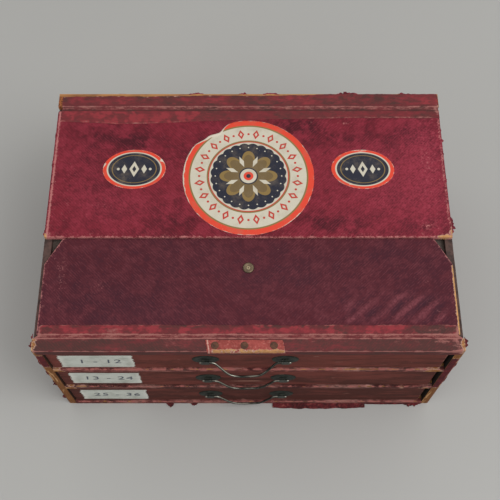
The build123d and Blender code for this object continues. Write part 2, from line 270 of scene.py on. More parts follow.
def book_cloth(name, ground, dark, light, worn, bare, patchy, fibre=EVEN, ribs=0.5, specks=0.5,
               bare_grain=(3, 1, 1), crisp=1.0, rest=False):
    """Dyed book cloth with a diagonal rib. It wears pale at its edges and tears down to what it covers."""
    paint = Paint(name, ground, rest)
    painted_worn, painted_stain, painted_bare, pale_patches_and_painted_sheen = paint.wear()
    blotch = paint.noise(12, 4, fibre, 0.65, 7.0)
    fine = paint.noise(2.6, 4, fibre, 0.75, 3.0)
    grain = paint.noise(0.9, 2, EVEN, 0.6, 11.0)
    falling = paint.noise(1.05, 1, (5, 1, 1), 0.5, 17.0, 45)
    rising = paint.noise(1.05, 1, (1, 5, 1), 0.5, 29.0, 45)
    rightward = paint.axis("X").ramp(-40 * MM, 60 * MM)
    leftward = 1.0 - rightward
    streaks = rising * rightward + falling * leftward
    waves = []
    for lean, share in ((1.0, leftward), (-1.0, rightward)):
        inputs = {0: paint.place, 1: (1.0, lean, 0.6)}
        slant = paint.new("ShaderNodeVectorMath", "Value", inputs, operation="DOT_PRODUCT")
        waves.append((slant * (2 * pi / (3.1 * MM)) + blotch * 5.0).sine() * share)
    rib = streaks * 0.6 + (waves[0] + waves[1]) * 0.07 + 0.2

    patches = paint.noise(55, 3) * 0.45 + blotch * 0.55
    # The stain mark darkens towards the dark tone; on the flap it also holds painted shade in the fold troughs.
    dark_share = patches.ramp(0.44, 0.62) * patchy + painted_stain * blotch.ramp(0.2, 0.5)
    paint.coat((dark_share + fine.ramp(0.5, 0.32) * specks).clamped(), dark)
    # Lighter patches; the bright mark adds paler patches and, on the flap, a painted sheen on the fold crests.
    light_share = blotch.ramp(0.55, 0.38) * (0.7 * patchy) + pale_patches_and_painted_sheen
    paint.coat((light_share * (fine.ramp(0.38, 0.62) * 0.7 + 0.3)).clamped(), light)
    paint.coat(rib.ramp(0.5, 0.68) * ribs, light)
    paint.coat(rib.ramp(0.48, 0.34) * (0.8 * ribs), dark)
    paint.coat(grain.ramp(0.55, 0.75) * 0.35, dark)

    broken = fine * 1.7 + grain * 0.7 - 1.2
    dust = paint.noise(1.1, 1, EVEN, 0.5, 23.0).ramp(0.76, 0.82) * 0.4
    paint.coat(paint.math("MAXIMUM", (painted_worn + broken * crisp).ramp(0.26, 0.66), dust), worn)

    torn = painted_bare + fine * 1.2 + blotch * 0.7 + grain * 0.3 - 1.1
    paint.coat(torn.ramp(0.36, 0.44), paint.mix(0.45, worn, (214, 186, 160)))
    cracked = paint.noise(1.6, 4, bare_grain, 0.7, 31.0).ramp(0.42, 0.6)
    bare_tone = paint.mix(cracked, bare, paint.mix(0.3, bare, (78, 44, 28)))
    flaked = paint.noise(3.5, 3, bare_grain, 0.6, 41.0).ramp(0.54, 0.64)
    bared = torn.ramp(0.5, 0.56)
    paint.coat(bared, paint.mix(flaked, bare_tone, (196, 150, 104)))
    height = rib * (0.9 * ribs) + fine * 0.8 - bared + grain * 0.3
    return paint.finish(fine * 0.16 + 0.78, height, 0.2, 0.12)


def wood(name, pale, deep, grain_axis=0, size=1.0, lined_above=None):
    """Old softwood: long grain with darker late rings and dirt. Given a lining height, its faces turned along X
    get painted shade for the dark gaps beside the drawers, and above that height it is lined.
    """
    paint = Paint(name, pale)
    stretch = [22.0 if axis == grain_axis else 1.0 for axis in range(3)]
    fibre = paint.noise(0.9 * size, 4, stretch, 0.7, 9.0)
    dirt = paint.noise(30, 5, EVEN, 0.65, 5.0)
    lines = (paint.noise(5 * size, 3, stretch, 0.5, 2.0) * 34.0).sine()
    paint.coat(lines.ramp(-0.2, 1.0), deep)
    paint.coat(fibre.ramp(0.5, 0.75) * 0.5, paint.mix(0.5, deep, (60, 38, 25)))
    paint.coat(dirt.ramp(0.45, 0.75) * 0.6, paint.mix(0.6, deep, (55, 40, 34)))
    if lined_above is not None:
        # Painted shade: faces turned to -X near black, faces turned to +X dark brown, for the shaded gaps beside
        # the drawers.
        facing, patches = paint.facing("X"), dirt.ramp(0.4, 0.6)
        paint.coat(facing.ramp(-0.5, -0.8), paint.mix(patches, (28, 20, 17), (15, 11, 10)))
        paint.coat(facing.ramp(0.5, 0.8), paint.mix(patches, (66, 42, 32), (48, 30, 24)))
        lining = paint.mix(paint.noise(7, 5).ramp(0.3, 0.7), (98, 74, 68), (62, 50, 47))
        lining = paint.mix(paint.noise(1.0, 3).ramp(0.66, 0.8), lining, (120, 104, 98))
        paint.coat(paint.axis("Z").ramp((lined_above - 0.1) * MM, lined_above * MM), lining)
    return paint.finish(fibre * 0.25 + 0.62, fibre * 0.6 + lines * 0.15, 0.15)


def strawboard(name, lined=None):
    """Yellow strawboard, layered at its edges, with a lining paper on its underside."""
    paint = Paint(name, (214, 168, 98))
    layers = paint.noise(0.7, 3, (18, 18, 1), 0.6)
    fleck = paint.noise(2.0, 5, (3, 1, 1), 0.7, 4.0)
    paint.coat(layers.ramp(0.35, 0.7), (176, 126, 68))
    paint.coat(fleck.ramp(0.5, 0.75) * 0.6, (140, 98, 58))
    if lined:
        faded = paint.mix(paint.noise(40, 5).ramp(0.35, 0.7), lined, (92, 78, 70))
        faded = paint.mix(fleck.ramp(0.6, 0.8) * 0.5, faded, (150, 135, 118))
        paint.coat(paint.facing("Z").ramp(-0.5, -0.9), faded)
    return paint.finish(fleck * 0.15 + 0.8, layers + fleck * 0.5, 0.15, 0.2)


def plain_paper(name, ground, soiled, fold=0.5):
    """Thin matt paper with soft creases and handling dirt."""
    paint = Paint(name, ground)
    worn, stained = paint.wear()[:2]
    fibre = paint.noise(0.8, 4, (2, 1, 1), 0.7, 6.0)
    paint.coat((paint.noise(16, 5, EVEN, 0.65).ramp(0.4, 0.75) * 0.8 + stained).clamped(), soiled)
    paint.coat(fibre.ramp(0.55, 0.8) * 0.25, soiled)
    paint.coat(worn * 0.8, (232, 230, 222))
    crease = paint.noise(9, 2, (3, 1, 1), 0.5, 12.0)
    return paint.finish(fibre * 0.2 + 0.6, crease * fold + fibre * 0.25, 0.3)


def metal(name, ground, shade, flecked, fleck_share, metallic, roughness, specular=0.5, painted=True):
    """Tarnished metal: a mottled skin over brighter metal, with small pits. Only made pieces take the bright
    mark, which on the bail wire and the stud paints highlights.
    """
    paint = Paint(name, ground)
    mottle = paint.noise(4.5, 5, EVEN, 0.7)
    small = paint.noise(0.9, 4, EVEN, 0.7, 8.0)
    paint.coat(mottle.ramp(0.35, 0.7), shade)
    shine = small.ramp(1.0 - fleck_share, 1.12 - fleck_share) * 0.8
    # On made pieces the bright mark adds painted highlights in the flecked tone.
    if painted:
        shine = (shine + paint.wear()[3]).clamped()
    paint.coat(shine, flecked)
    level = mottle * 0.25 + roughness + small * 0.1
    return paint.finish(level, small * 0.6 + mottle * 0.5, 0.08, specular, metallic)


def printed_label(name, ornament):
    """Printed paper. The ornament draws its colours; the print is rubbed, creased and soiled with age."""
    paint = Paint(name, ORANGE_RED)
    ornament(paint, paint.axis("X") / MM, paint.axis("Y") / MM)
    fibre = paint.noise(0.7, 4, EVEN, 0.7)
    soil = paint.noise(14, 5, EVEN, 0.7, 3.0)
    crease = paint.noise(6, 3, (1, 4, 1), 0.6, 8.0)
    paint.coat(soil.ramp(0.45, 0.8) * 0.35, (150, 132, 108))
    paint.coat(fibre.ramp(0.58, 0.8) * 0.22, (120, 96, 84))
    rubbed = (paint.wear()[0] + fibre * 0.9 + soil * 0.3).ramp(1.0, 1.3)
    flecks = paint.noise(1.6, 3, EVEN, 0.6, 15.0).ramp(0.7, 0.76)
    rubbed = paint.math("MAXIMUM", rubbed, flecks * 0.45)
    paint.coat(rubbed, (226, 214, 196))
    return paint.finish(fibre * 0.25 + 0.42, crease * 0.6 + fibre * 0.3 + rubbed * -0.3, 0.15, 0.4)


def distance(x, y):
    return (x * x + y * y) ** 0.5


def repeated(radius, angle, count, middle, turn=0.0):
    """Distances across and along from the nearest of count motifs set round a circle of radius middle."""
    step = 2 * pi / count
    phase = ((angle + (4 * pi + turn)) / step).fraction()
    return abs(phase - 0.5) * step * radius, abs(radius - middle)


def lozenge(place, half_width, half_height):
    """1 inside a lozenge, 0 outside."""
    return (place[0] / half_width + place[1] / half_height).inside(1.0, 0.06)


def dot(place, radius):
    """1 inside a round dot, 0 outside."""
    return distance(*place).inside(radius, 0.15)


def round_ornament(paint, x, y):
    """An orange-red rim, a cream ring of red lozenges and a dark blue middle with a gold rosette."""
    x, y = x - label_centre.x, y - label_centre.y
    radius, angle, size = distance(x, y), paint.math("ARCTAN2", y, x), label_radius

    def discs(*inks):
        for share, ink in inks:
            paint.coat(radius.inside(size * share, 0.2), ink)

    discs((0.91, OLD_GOLD), (0.885, CREAM))
    ring = repeated(radius, angle, 20, size * 0.75)
    paint.coat(lozenge(ring, 3.6, 6.0), PRINT_RED)
    paint.coat(lozenge(ring, 1.5, 2.6), CREAM)
    paint.coat(dot(repeated(radius, angle, 20, size * 0.75, pi / 20), 1.3), PRINT_RED)
    discs((0.635, OLD_GOLD), (0.615, PRINT_RED), (0.598, CREAM))
    scallop = abs((angle * 12.0).sine()) * 1.8
    paint.coat(radius.inside(scallop + size * 0.555, 0.2), NAVY)
    paint.coat(dot(repeated(radius, angle, 24, size * 0.505, pi / 24), 0.75), CREAM)
    lobe = abs((angle * 4.0).cosine())
    paint.coat(radius.inside(lobe ** 0.6 * (size * 0.24) + size * 0.2, 0.2), OLD_GOLD)
    paint.coat(radius.inside(lobe ** 0.8 * (size * 0.19) + size * 0.185, 0.2) * 0.35, NAVY)
    paint.coat(lozenge(repeated(radius, angle, 8, size * 0.27), 2.4, 7.0), CREAM)
    discs((0.145, NAVY), (0.125, CREAM), (0.075, ORANGE_RED), (0.035, NAVY))


def oval_ornament(paint, x, y):
    """An orange-red rim, a cream line and a dark blue field with a row of cream lozenges and dots."""
    x, y = abs(x) - oval_offset, y - oval_middle
    reach = distance(x / oval_half.x, y / oval_half.y)
    paint.coat(reach.inside(0.875, 0.008), CREAM)
    paint.coat(reach.inside(0.825, 0.008), NAVY)
    paint.coat(abs(reach - 0.7).inside(0.014, 0.008), OLD_GOLD)
    wide, tall = abs(x), abs(y)
    paint.coat(lozenge((wide, tall), 5.2, 9.5), CREAM)
    paint.coat(lozenge((wide, tall), 2.2, 4.0), NAVY)
    paint.coat(lozenge((abs(wide - 10.5), tall), 3.0, 5.5), CREAM)
    paint.coat(dot((abs(wide - 17.0), tall), 1.5), CREAM)


ORANGE_RED, PRINT_RED, CREAM = (234, 70, 46), (196, 62, 50), (214, 207, 188)
NAVY, OLD_GOLD = (34, 36, 52), (142, 116, 66)

LID_CLOTH = book_cloth("lid book cloth", (130, 42, 54), (78, 32, 40), (156, 58, 74), (188, 118, 116),
                       (208, 154, 104), 0.6, ribs=0.45, specks=0.2)
# The flap cloth's light tone also gives the painted sheen on its fold crests, and its dark tone the painted
# shade in their troughs.
FLAP_CLOTH = book_cloth("flap book cloth", (88, 38, 46), (68, 38, 48), (124, 66, 74), (172, 112, 110),
                        (214, 160, 106), 0.4, ribs=0.4, specks=0.3)
BAND_CLOTH = book_cloth("hinge book cloth", (116, 50, 55), (84, 56, 54), (152, 60, 66), (164, 108, 102),
                        (172, 118, 76), 0.35, (3, 1, 1), 0.2, 0.4, crisp=0.7, rest=True)
SIDE_CLOTH = book_cloth("side book cloth", (92, 38, 42), (60, 30, 32), (122, 44, 50), (168, 100, 90),
                        (134, 88, 52), 0.7, bare_grain=(1, 1, 9))
DRAWER_CLOTH = book_cloth("drawer book cloth", (121, 64, 57), (80, 45, 40), (132, 70, 63), (152, 108, 96),
                          (150, 98, 54), 0.45, (7, 1, 1), 0.12, 0.4)
EDGE_CLOTH = book_cloth("edge book cloth", (118, 52, 52), (66, 36, 35), (210, 164, 152), (164, 100, 94),
                        (158, 104, 58), 0.5, (3, 1, 1), 0.1, 0.7)
STRAP = book_cloth("strap cloth", (160, 76, 72), (126, 62, 56), (188, 98, 90), (206, 160, 146),
                   (194, 142, 96), 0.5, ribs=0.2)
WOOD_LONG = wood("case wood along", (186, 134, 78), (140, 92, 50))
WOOD_UP = wood("case wood side with painted gap shade", (172, 116, 62), (132, 82, 44), 1, 1.0, back_cap_low.z - 6.2)
WOOD_BACK = wood("case wood back", (190, 134, 82), (158, 106, 64), 0, 1.3)
END_BOARD = wood("worn board ends", (172, 102, 56), (104, 58, 34), 2, 0.8)
TORN_END = wood("torn front ends", (204, 160, 122), (140, 96, 70), 0, 0.8)
DRAWER_WOOD = wood("drawer wood", (178, 140, 94), (146, 106, 66))
DRAWER_WOOD_SIDES = wood("drawer wood sides", (178, 140, 94), (146, 106, 66), 1)
LID_BOARD = strawboard("lid strawboard", (112, 96, 84))
PLAIN_BOARD = strawboard("strawboard")
LINING = plain_paper("dark lining paper", (104, 92, 85), (80, 70, 65))
TAPE = plain_paper("masking tape", (206, 210, 202), (168, 172, 162), 1.0)
INK = plain_paper("pen ink", (84, 90, 104), (104, 108, 116))
ROUND_PRINT = printed_label("round label print", round_ornament)
OVAL_PRINT = printed_label("oval label print", oval_ornament)
PLATE_IRON = metal("pull plate iron", (42, 48, 42), (22, 26, 23), (104, 106, 90), 0.4, 0.0, 0.45, 0.25, False)
EYE_STEEL = metal("strap eye steel", (54, 57, 50), (22, 24, 21), (170, 166, 146), 0.4, 0.0, 0.3, 0.5, False)
# The bail wire's and the stud's flecked tones are also their painted highlights.
WIRE_STEEL = metal("bail wire steel", (60, 63, 58), (30, 33, 30), (232, 228, 212), 0.4, 0.8, 0.2)
STUD_BRASS = metal("press stud brass", (104, 84, 66), (54, 42, 36), (186, 168, 136), 0.42, 0.7, 0.36)
TACK_RUST = metal("tack rust", (112, 74, 54), (72, 50, 42), (150, 104, 74), 0.4, 0.3, 0.6)
NAIL_STEEL = metal("nail steel", (120, 118, 112), (84, 76, 68), (160, 156, 148), 0.4, 0.8, 0.45, 0.5, False)


# ---------------------------------------------------------------- meshes
class Shell:
    """A mesh under construction, in millimetres."""

    def __init__(self):
        self.points = []
        self.faces = []

    def grid(self, columns, rows, place, closed=False):
        """Quads over columns by rows. place gives the point at each pair of shares from 0 to 1."""
        first = len(self.points)
        around = columns if closed else columns + 1
        for row in range(rows + 1):
            for column in range(around):
                self.points.append(Vector(place(column / columns, row / rows)))
        for row in range(rows):
            for column in range(columns):
                beside = (column + 1) % around
                low, high = first + row * around, first + (row + 1) * around
                self.faces.append((low + column, low + beside, high + beside, high + column))

    def lathe(self, outline, segments, centre):
        """Turns an outline of (radius, height) about the upright line through centre."""
        def place(around, along):
            radius, height = outline[round(along * (len(outline) - 1))]
            angle = around * 2 * pi
            return centre + Vector((radius * cos(angle), radius * sin(angle), height))

        self.grid(segments, len(outline) - 1, place, True)

    def tube(self, line, radius, sides):
        """A round tube along a list of points, closed at its ends. The radius follows the share of the way."""
        frames = []
        side = Vector((0, 0, 1))
        for i, point in enumerate(line):
            ahead = (line[min(i + 1, len(line) - 1)] - line[max(i - 1, 0)]).normalized()
            side = (side - ahead * side.dot(ahead)).normalized()
            frames.append((point, side, ahead.cross(side)))

        def place(around, along):
            point, u, v = frames[round(along * (len(line) - 1))]
            angle = around * 2 * pi
            return point + (u * cos(angle) + v * sin(angle)) * radius(along)

        first = len(self.points)
        self.grid(sides, len(line) - 1, place, True)
        last = first + (len(line) - 1) * sides
        self.faces.append(tuple(range(first, first + sides))[::-1])
        self.faces.append(tuple(range(last, last + sides)))


def make(name, shell, material, body, replaced=(), painter=None, blend=None):
    """Turns a shell into a smooth piece that rides on a body, or, given a blend, stands free in the scene with
    its rest places kept.

    The painter gives the four marks at a point, from its place and how far it faces up: wear, stains, tears, and
    paler patches, with painted highlights and shade among them on some pieces.
    """
    mesh = bpy.data.meshes.new(name)
    mesh.from_pydata([p * MM for p in shell.points], [], shell.faces)
    mesh.update()
    piece = added(name, mesh)
    piece.modifiers.new("weld", "WELD").merge_threshold = WELD * MM
    depsgraph = bpy.context.evaluated_depsgraph_get()
    mesh = bpy.data.meshes.new_from_object(piece.evaluated_get(depsgraph))
    piece.modifiers.clear()
    piece.data = mesh
    mesh.name = name
    mesh.materials.append(material)
    mesh.polygons.foreach_set("use_smooth", [True] * len(mesh.polygons))
    layer = mesh.attributes.new("wear", "FLOAT_COLOR", "POINT")
    for mark, vertex in zip(layer.data, mesh.vertices):
        mark.color = painter(*(vertex.co / MM), vertex.normal.z) if painter else (0.0, 0.0, 0.0, 0.0)
    if blend:
        rest = mesh.attributes.new("rest", "FLOAT_VECTOR", "POINT")
        for place, vertex in zip(rest.data, mesh.vertices):
            place.vector = vertex.co
        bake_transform(piece)
    else:
        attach(piece, body)
    if replaced:
        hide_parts(*replaced)
    return piece


def added(name, data):
    """A new object in the scene."""
    thing = bpy.data.objects.new(name, data)
    bpy.context.scene.collection.objects.link(thing)
    return thing


def keep(material, *nodes):
    """A node whose shape is right gets its finish."""
    for node in nodes:
        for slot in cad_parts[node].material_slots:
            slot.material = material


# ---------------------------------------------------------------- the covered boards
def lid_rise(x, y):
    """How far the lid's surface stands off flat."""
    return 0.22 * rough(x, y, 3.0, 45, 2)


def flap_folds(x, y):
    """Diagonal folds by the flap's front right corner, from 0 to 1, and how strong they are there."""
    window = between(x, 40, 120) * between(215 - x, 5, 30) * between(y, -127, -117) * between(-y, 74, 100)
    window *= 0.55 + 0.45 * rough(x, y, 12.0, 26, 2)
    run = -(x - 40) * 0.67 + (y + 122) * 0.74 + 3 * rough(x, y, 1.0, 40, 2)
    return window * (0.5 + 0.5 * sin(run * 2 * pi / 14.0)), window


def flap_rise(x, y):
    """The flap's surface: nearly flat, with a few folds."""
    return 0.15 * rough(x, y, 9.0, 50, 2) + 1.9 * flap_folds(x, y)[0]


def flap_inset(y):
    """The flap's rear corners are cut off."""
    corner_across, corner_along = 16.5, 29.0
    return max(0.0, corner_across * (y - (flap_high.y - corner_along)) / corner_along)


def covered(low, high, inset, rise, roll, turn_in):
    """Cloth over a board: a fine grid on top that rolls over every edge and is turned in underneath."""
    step, ragged, hem = 1.6, 0.35, 0.6
    shell = Shell()
    rows, columns = round((high.y - low.y) / step), round((high.x - low.x) / step)
    start, stop = low.y + roll, high.y - roll

    def top(across, along):
        y = start + (stop - start) * along
        left = low.x + roll + inset(y)
        x = left + (-2 * left) * across
        return x, y, high.z + rise(x, y)

    shell.grid(columns, rows, top)
    width = columns + 1
    ring = list(range(columns)) + [columns + row * width for row in range(rows)]
    ring += [rows * width + column for column in range(columns, 0, -1)]
    ring += [row * width for row in range(rows, 0, -1)]
    base = [shell.points[i].copy() for i in ring]
    outward = []
    for i in range(len(base)):
        ahead = base[(i + 1) % len(base)] - base[i - 1]
        outward.append(Vector((ahead.y, -ahead.x, 0)).normalized())
    drop = high.z - low.z
    turns = [(roll * sin(a), roll * (1 - cos(a))) for a in (radians(d) for d in (22.5, 45, 67.5, 90))]
    for out, down in turns + [(roll, drop * 0.55), (roll, drop - 0.1)]:
        fresh = []
        for point, away in zip(base, outward):
            wobble = ragged * rough(point.x, point.y, 5.0, 9) * min(1.0, down / roll)
            lowered = Vector((point.x, point.y, max(point.z - down, low.z)))
            fresh.append(len(shell.points))
            shell.points.append(lowered + away * (out + min(wobble, 0.0)))
        for i in range(len(ring)):
            j = (i + 1) % len(ring)
            shell.faces.append((ring[i], fresh[i], fresh[j], ring[j]))
        ring = fresh

    for hand in HANDS:
        def along_side(across, along):
            y = low.y + hem + (high.y - low.y - 2 * hem) * along
            x = hand * (high.x - hem - inset(y) - across * turn_in)
            return x, y + (1 - 2 * along) * across * turn_in, low.z - 0.08 - 0.04 * across

        shell.grid(4, 40, along_side)
    for edge, inwards in ((low.y + hem, 1), (high.y - hem, -1)):
        def along_edge(across, along):
            reach = high.x - hem - inset(edge)
            x = -reach + 2 * reach * across + (1 - 2 * across) * along * turn_in
            return x, edge + inwards * along * turn_in, low.z - 0.08 - 0.04 * along

        shell.grid(80, 4, along_edge)
    return shell


LID_SCUFFS = [
    (190, 60, 8, 30, 0.14), (150, 70, 16, 12, 0.06), (106, 110, 6, 2.0, 0.4), (76, 112, 18, 2, 0.2),
    (-190, 30, 7, 40, 0.12), (-150, 8, 22, 7, 0.12), (184, -16, 8, 5, 0.3), (-60, 60, 8, 2, 0.2),
]
LID_STAINS = [
    (-162, 90, 20, 12, 0.5), (-123, 88, 16, 8, 0.6), (-100, 58, 30, 10, 0.25), (-60, -8, 40, 9, 0.35),
    (58, 106, 22, 8, 0.9), (112, 92, 40, 10, 0.55), (168, 96, 24, 10, 0.5), (96, -12, 44, 10, 0.6),
    (150, 82, 18, 8, 0.4), (-190, 100, 12, 16, 0.3), (178, -12, 20, 8, 0.4), (-36, 116, 30, 5, 0.4),
    (90, 30, 12, 20, 0.25), (-150, 44, 24, 14, 0.2),
]
LID_BRIGHT = [
    (-140, 8, 44, 22, 0.5), (150, 20, 60, 40, 0.7), (190, 40, 20, 60, 0.6), (-175, 60, 22, 30, 0.25),
    (130, 60, 50, 24, 0.5), (186, 84, 26, 36, 0.6),
]
LID_TEARS = [
    (-209, -27, 3.6, 5.5, 0.8), (201, -27, 9, 2.2, 0.8), (209, -22, 3, 4, 0.5), (209.5, -12, 1.2, 9, 0.5),
    (-209.5, 60, 0.8, 30, 0.2),
]


def lid_painter(x, y, z, upward):
    """Pale worn edges, dark stains and the torn front corners of the lid."""
    side, front, rear = lid_high.x - abs(x), y - lid_low.y, lid_high.y - y
    lumpy = lumps(x, y, 0.0, 7)
    worn = 0.75 * near(front, 1.5) * (0.3 + 0.8 * lumpy) + 0.3 * near(front - 4, 1.5) * lumpy
    worn += 0.8 * near(side - (1.9 if x > 0 else 3.0), 0.9) * (0.4 + 0.7 * lumpy)
    worn += 0.2 * between(x, 165, 208) * lumpy if x > 0 else 0.22 * near(side, 9)
    worn += marked(LID_SCUFFS, x, y)
    bare = marked(LID_TEARS, x, y)
    if z < lid_high.z - 1.9:
        worn += 0.35 * lumpy
        bare *= 0.9
    return worn, marked(LID_STAINS, x, y) + 0.25 * near(rear, 12), bare, marked(LID_BRIGHT, x, y)


FLAP_SCUFFS = [
    (-190, -62, 9, 10, 0.2), (-150, -80, 12, 8, 0.14), (-188, -80, 5, 30, 0.16), (176, -100, 12, 4, 0.16),
    (168, -76, 10, 6, 0.14), (190, -108, 8, 3, 0.2), (186, -118, 18, 4, 0.16), (84, -116, 20, 3, 0.1),
]
FLAP_STAINS = [(-150, -100, 60, 30, 1.0), (40, -70, 90, 30, 0.6), (120, -50, 60, 14, 0.5)]
FLAP_BRIGHT = [
    (-196, -90, 8, 40, 0.35), (0, -80, 70, 30, 0.2), (110, -96, 60, 20, 0.25), (-90, -112, 60, 8, 0.25),
]


def flap_painter(x, y, z, upward):
    """Worn arrises, a few rubbed creases with a painted sheen on their crests and painted shade in their
    troughs, and the bared right edge of the flap.
    """
    inset = flap_inset(y)
    side = flap_high.x - abs(x) - inset
    slant = 0.87 * side if inset > 0 else side
    lumpy = lumps(x, y, 4.0, 6)
    crest, strength = flap_folds(x, y)
    worn = 0.8 * near(slant, 1.1) * (0.4 + 0.8 * lumpy) + 0.25 * near(slant - 3, 3) * lumpy
    worn += marked(FLAP_SCUFFS, x, y) + 0.14 * between(crest, 0.5, 0.9) * lumpy + 0.3 * (z < flap_high.z - 1.2)
    # Stains, plus painted shade in the troughs between the folds.
    stain = 0.3 * marked(FLAP_STAINS, x, y) + 1.3 * max(strength - crest - 0.2, 0.0)
    bare = 0.9 * near(flap_high.x - x - inset, 1.2 + 1.2 * lumpy) * between(x, 100, 190) * between(-y, 50, 66)
    # Lighter patches, plus a painted sheen on the fold crests.
    return worn, stain, bare, 0.5 * marked(FLAP_BRIGHT, x, y) + 1.4 * between(crest, 0.15, 0.9)


def covered_boards():
    shell = covered(lid_low, lid_high, lambda y: 0.0, lid_rise, 1.1, 15)
    lid = make("lid_cover", shell, LID_CLOTH, "lid", ["lid_cloth"], lid_painter)
    shell = covered(flap_low, flap_high, flap_inset, flap_rise, 0.8, 12)
    flap = make("flap_cover", shell, FLAP_CLOTH, "flap", ["flap_cloth"], flap_painter)


# ---------------------------------------------------------------- strips that follow a profile
def moulding(profile, low_x, high_x, columns, shape):
    """Cloth with one profile of (y, z) points from end to end. shape may move each point."""
    shell = Shell()

    def place(across, along):
        y, z = profile[round(along * (len(profile) - 1))]
        return shape(low_x + (high_x - low_x) * across, y, z, across, along)

    shell.grid(columns, len(profile) - 1, place)
    return shell


BAND_SCUFFS = [
    (-132, -128, 12, 4, 0.4), (-70, -143, 14, 4, 0.25), (150, -143, 30, 5, 0.12), (180, -128, 20, 3, 0.3),
    (60, -141, 40, 3, 0.15),
]
FLAP_BAND_STAINS = [
    (186, -128, 30, 6, 1.1), (-196, -128, 10, 6, 0.5), (-60, -124, 40, 2, 0.4), (70, -124, 60, 2, 0.4),
]
BAND_TEARS = [(-207, -141, 2.5, 7, 0.7), (207, -143, 3.5, 7, 0.8)]
BAND_BRIGHT = [
    (-62, -141, 22, 4, 0.5), (-130, -146, 14, 3, 0.3), (-132, -128, 10, 4, 0.4), (20, -141, 60, 5, 0.2),
    (120, -142, 60, 4, 0.15),
]


def front_strip():
    """One strip of cloth from the rail's lower edge, over the groove, to its torn edge on the flap."""
    top = front_band_high.z
    groove_front, groove_back = front_cap_high.y, flap_low.y
    middle = (groove_front + groove_back) / 2
    turn = front_band_low.y - case_front
    profile = [(case_front, z) for z in (rail_low.z, 186.5, 189, 191, 192.6, top - turn)]
    profile += [(case_front + a, top - b) for a, b in quarter(turn, [radians(15 * i) for i in range(1, 7)])]
    profile += [(y, top) for y in spaced(case_front + turn + 1.0, groove_front - 0.9, 8)]
    profile += [(y, top + rise) for y, rise in (
        (groove_front - 0.3, 0.15), (groove_front + 0.3, 0.0), (groove_front + 0.9, -0.8), (middle - 0.5, -1.25),
        (middle + 0.5, -1.25), (groove_back - 0.9, -0.8), (groove_back - 0.2, 0.0), (groove_back + 0.5, 0.15),
    )]
    profile += [(y, top) for y in spaced(groove_back + 1.2, flap_band_high.y - 0.3, 7)]
    profile += [(flap_band_high.y, flap_high.z)]

    def shape(x, y, z, across, along):
        edge = between(y, groove_back + 4, flap_band_high.y)
        y += edge * (0.9 * rough(x, 0, 2.0, 26) + 0.4 * rough(x, 0, 6.0, 5))
        ends = abs(2 * across - 1)
        x -= copysign(between(y, groove_front, groove_back) * 4.0, x) * between(ends, 0.9, 1.0)
        if ends > 0.999:
            x -= copysign(1.6 * abs(rough(0, y * 3, z * 3 + x, 4)) + 0.4, x)
        rounding = between(y, flap_band_high.y - 3.5, flap_band_high.y)
        x -= copysign(3.0 * rounding * rounding, x) * between(ends, 0.985, 1.0)
        flat = between(z, top - 0.5, top)
        lift = 0.2 * rough(x, y, z, 14) * flat
        out = 0.25 * rough(x, y, z, 20, 2) * (1 - flat)
        if z < rail_low.z + 0.1:
            z += 0.7 * abs(rough(x, 0, 3.0, 7))
        return x, y + min(out, 0.0), z + lift

    def painter(x, y, z, upward):
        lumpy, streak = lumps(x, y, z, 8), lumps(x / 8, y, z, 2.4)
        in_groove = between(y, groove_front - 0.8, groove_front) * between(-y, -groove_back - 0.8, -groove_back)
        on_top = 1.0 if in_groove > 0 else between(z, top - 1.6, top - 0.4)
        on_rail = between(-y, -groove_front + 0.2, -groove_front + 1.5)
        on_flap = between(y, groove_back, groove_back + 1.5)
        arris = near(z - (top - turn), 1.3) * between(-y, 146.5, 148.5)
        ridges = near(y - groove_front + 0.2, 0.7) + near(y - groove_back - 0.1, 0.7)
        hem = near(y - flap_band_high.y, 0.8)
        end = front_band_high.x + 3 - abs(x)
        worn = 0.85 * arris * (0.5 + 0.8 * lumpy) + ridges * (0.1 + 0.6 * lumpy) + hem * (0.1 + 0.7 * lumpy)
        worn += in_groove * (0.2 + 0.3 * streak) + 0.25 * near(y - groove_front + 2.5, 2.0) * lumpy
        worn += 0.4 * between(x, 150, 205) * between(lumpy, 0.35, 0.7) * between(-y, 134, 140)
        worn += 0.6 * near(end - 4.0 * between(y, groove_front, groove_back), 3.0) * (0.4 + lumpy)
        greyed = marked(FLAP_BAND_STAINS, x, y)
        stain = (0.75 + 0.4 * streak + 0.45 * rough(x, y, 4.0, 30, 2)) * on_rail * on_top
        # The front face below the arris is painted darker.
        stain += 0.9 * (1 - on_top) * between(-y, 140, 145) * (1 - arris)
        stain += on_flap * (0.9 * between(rough(x, y * 2, 15.0, 24), 0.0, 0.4) + greyed)
        bare = 0.5 * near(end, 2.4) * between(-y, 134, 138) * (0.3 + lumpy) + 0.5 * marked(BAND_TEARS, x, y)
        bright = on_flap * max(0.15 + 1.4 * between(lumpy, 0.4, 0.7) - 1.5 * greyed, 0.0)
        return worn + marked(BAND_SCUFFS, x, y), stain, bare, bright + marked(BAND_BRIGHT, x, y)

    shell = moulding(profile, -front_cap_high.x + 0.6, front_cap_high.x - 0.6, 420, shape)
    blend = (("case", "flap"), (0, groove_front + 0.2, top), (0, groove_back - 0.2, top))
    nodes = ("front_hinge_cloth_case", "front_hinge_cloth_flap", "rail_cloth")
    piece = make("front_hinge_cloth", shell, BAND_CLOTH, None, nodes, painter, blend)


REAR_HEM = [(-210, 113), (-140, 109.3), (-108, 110), (-50, 113), (0, 115), (73, 116), (100, 117), (210, 117)]
REAR_EDGE = [
    (-210, 144.8), (-150, 145.8), (-110, 145.2), (-60, 146.6), (0, 146.4), (60, 147.4), (90, 148.6),
    (210, 148.8),
]
REAR_STAINS = [(15, 138, 10, 5, 0.8), (95, 139, 8, 5, 0.8), (-70, 138, 14, 4, 0.4), (160, 138, 20, 4, 0.4)]
REAR_BRIGHT = [(-150, 139, 26, 4, 1.0), (-60, 141, 40, 4, 0.7), (196, 139, 14, 8, 1.4), (60, 141, 50, 5, 0.6)]


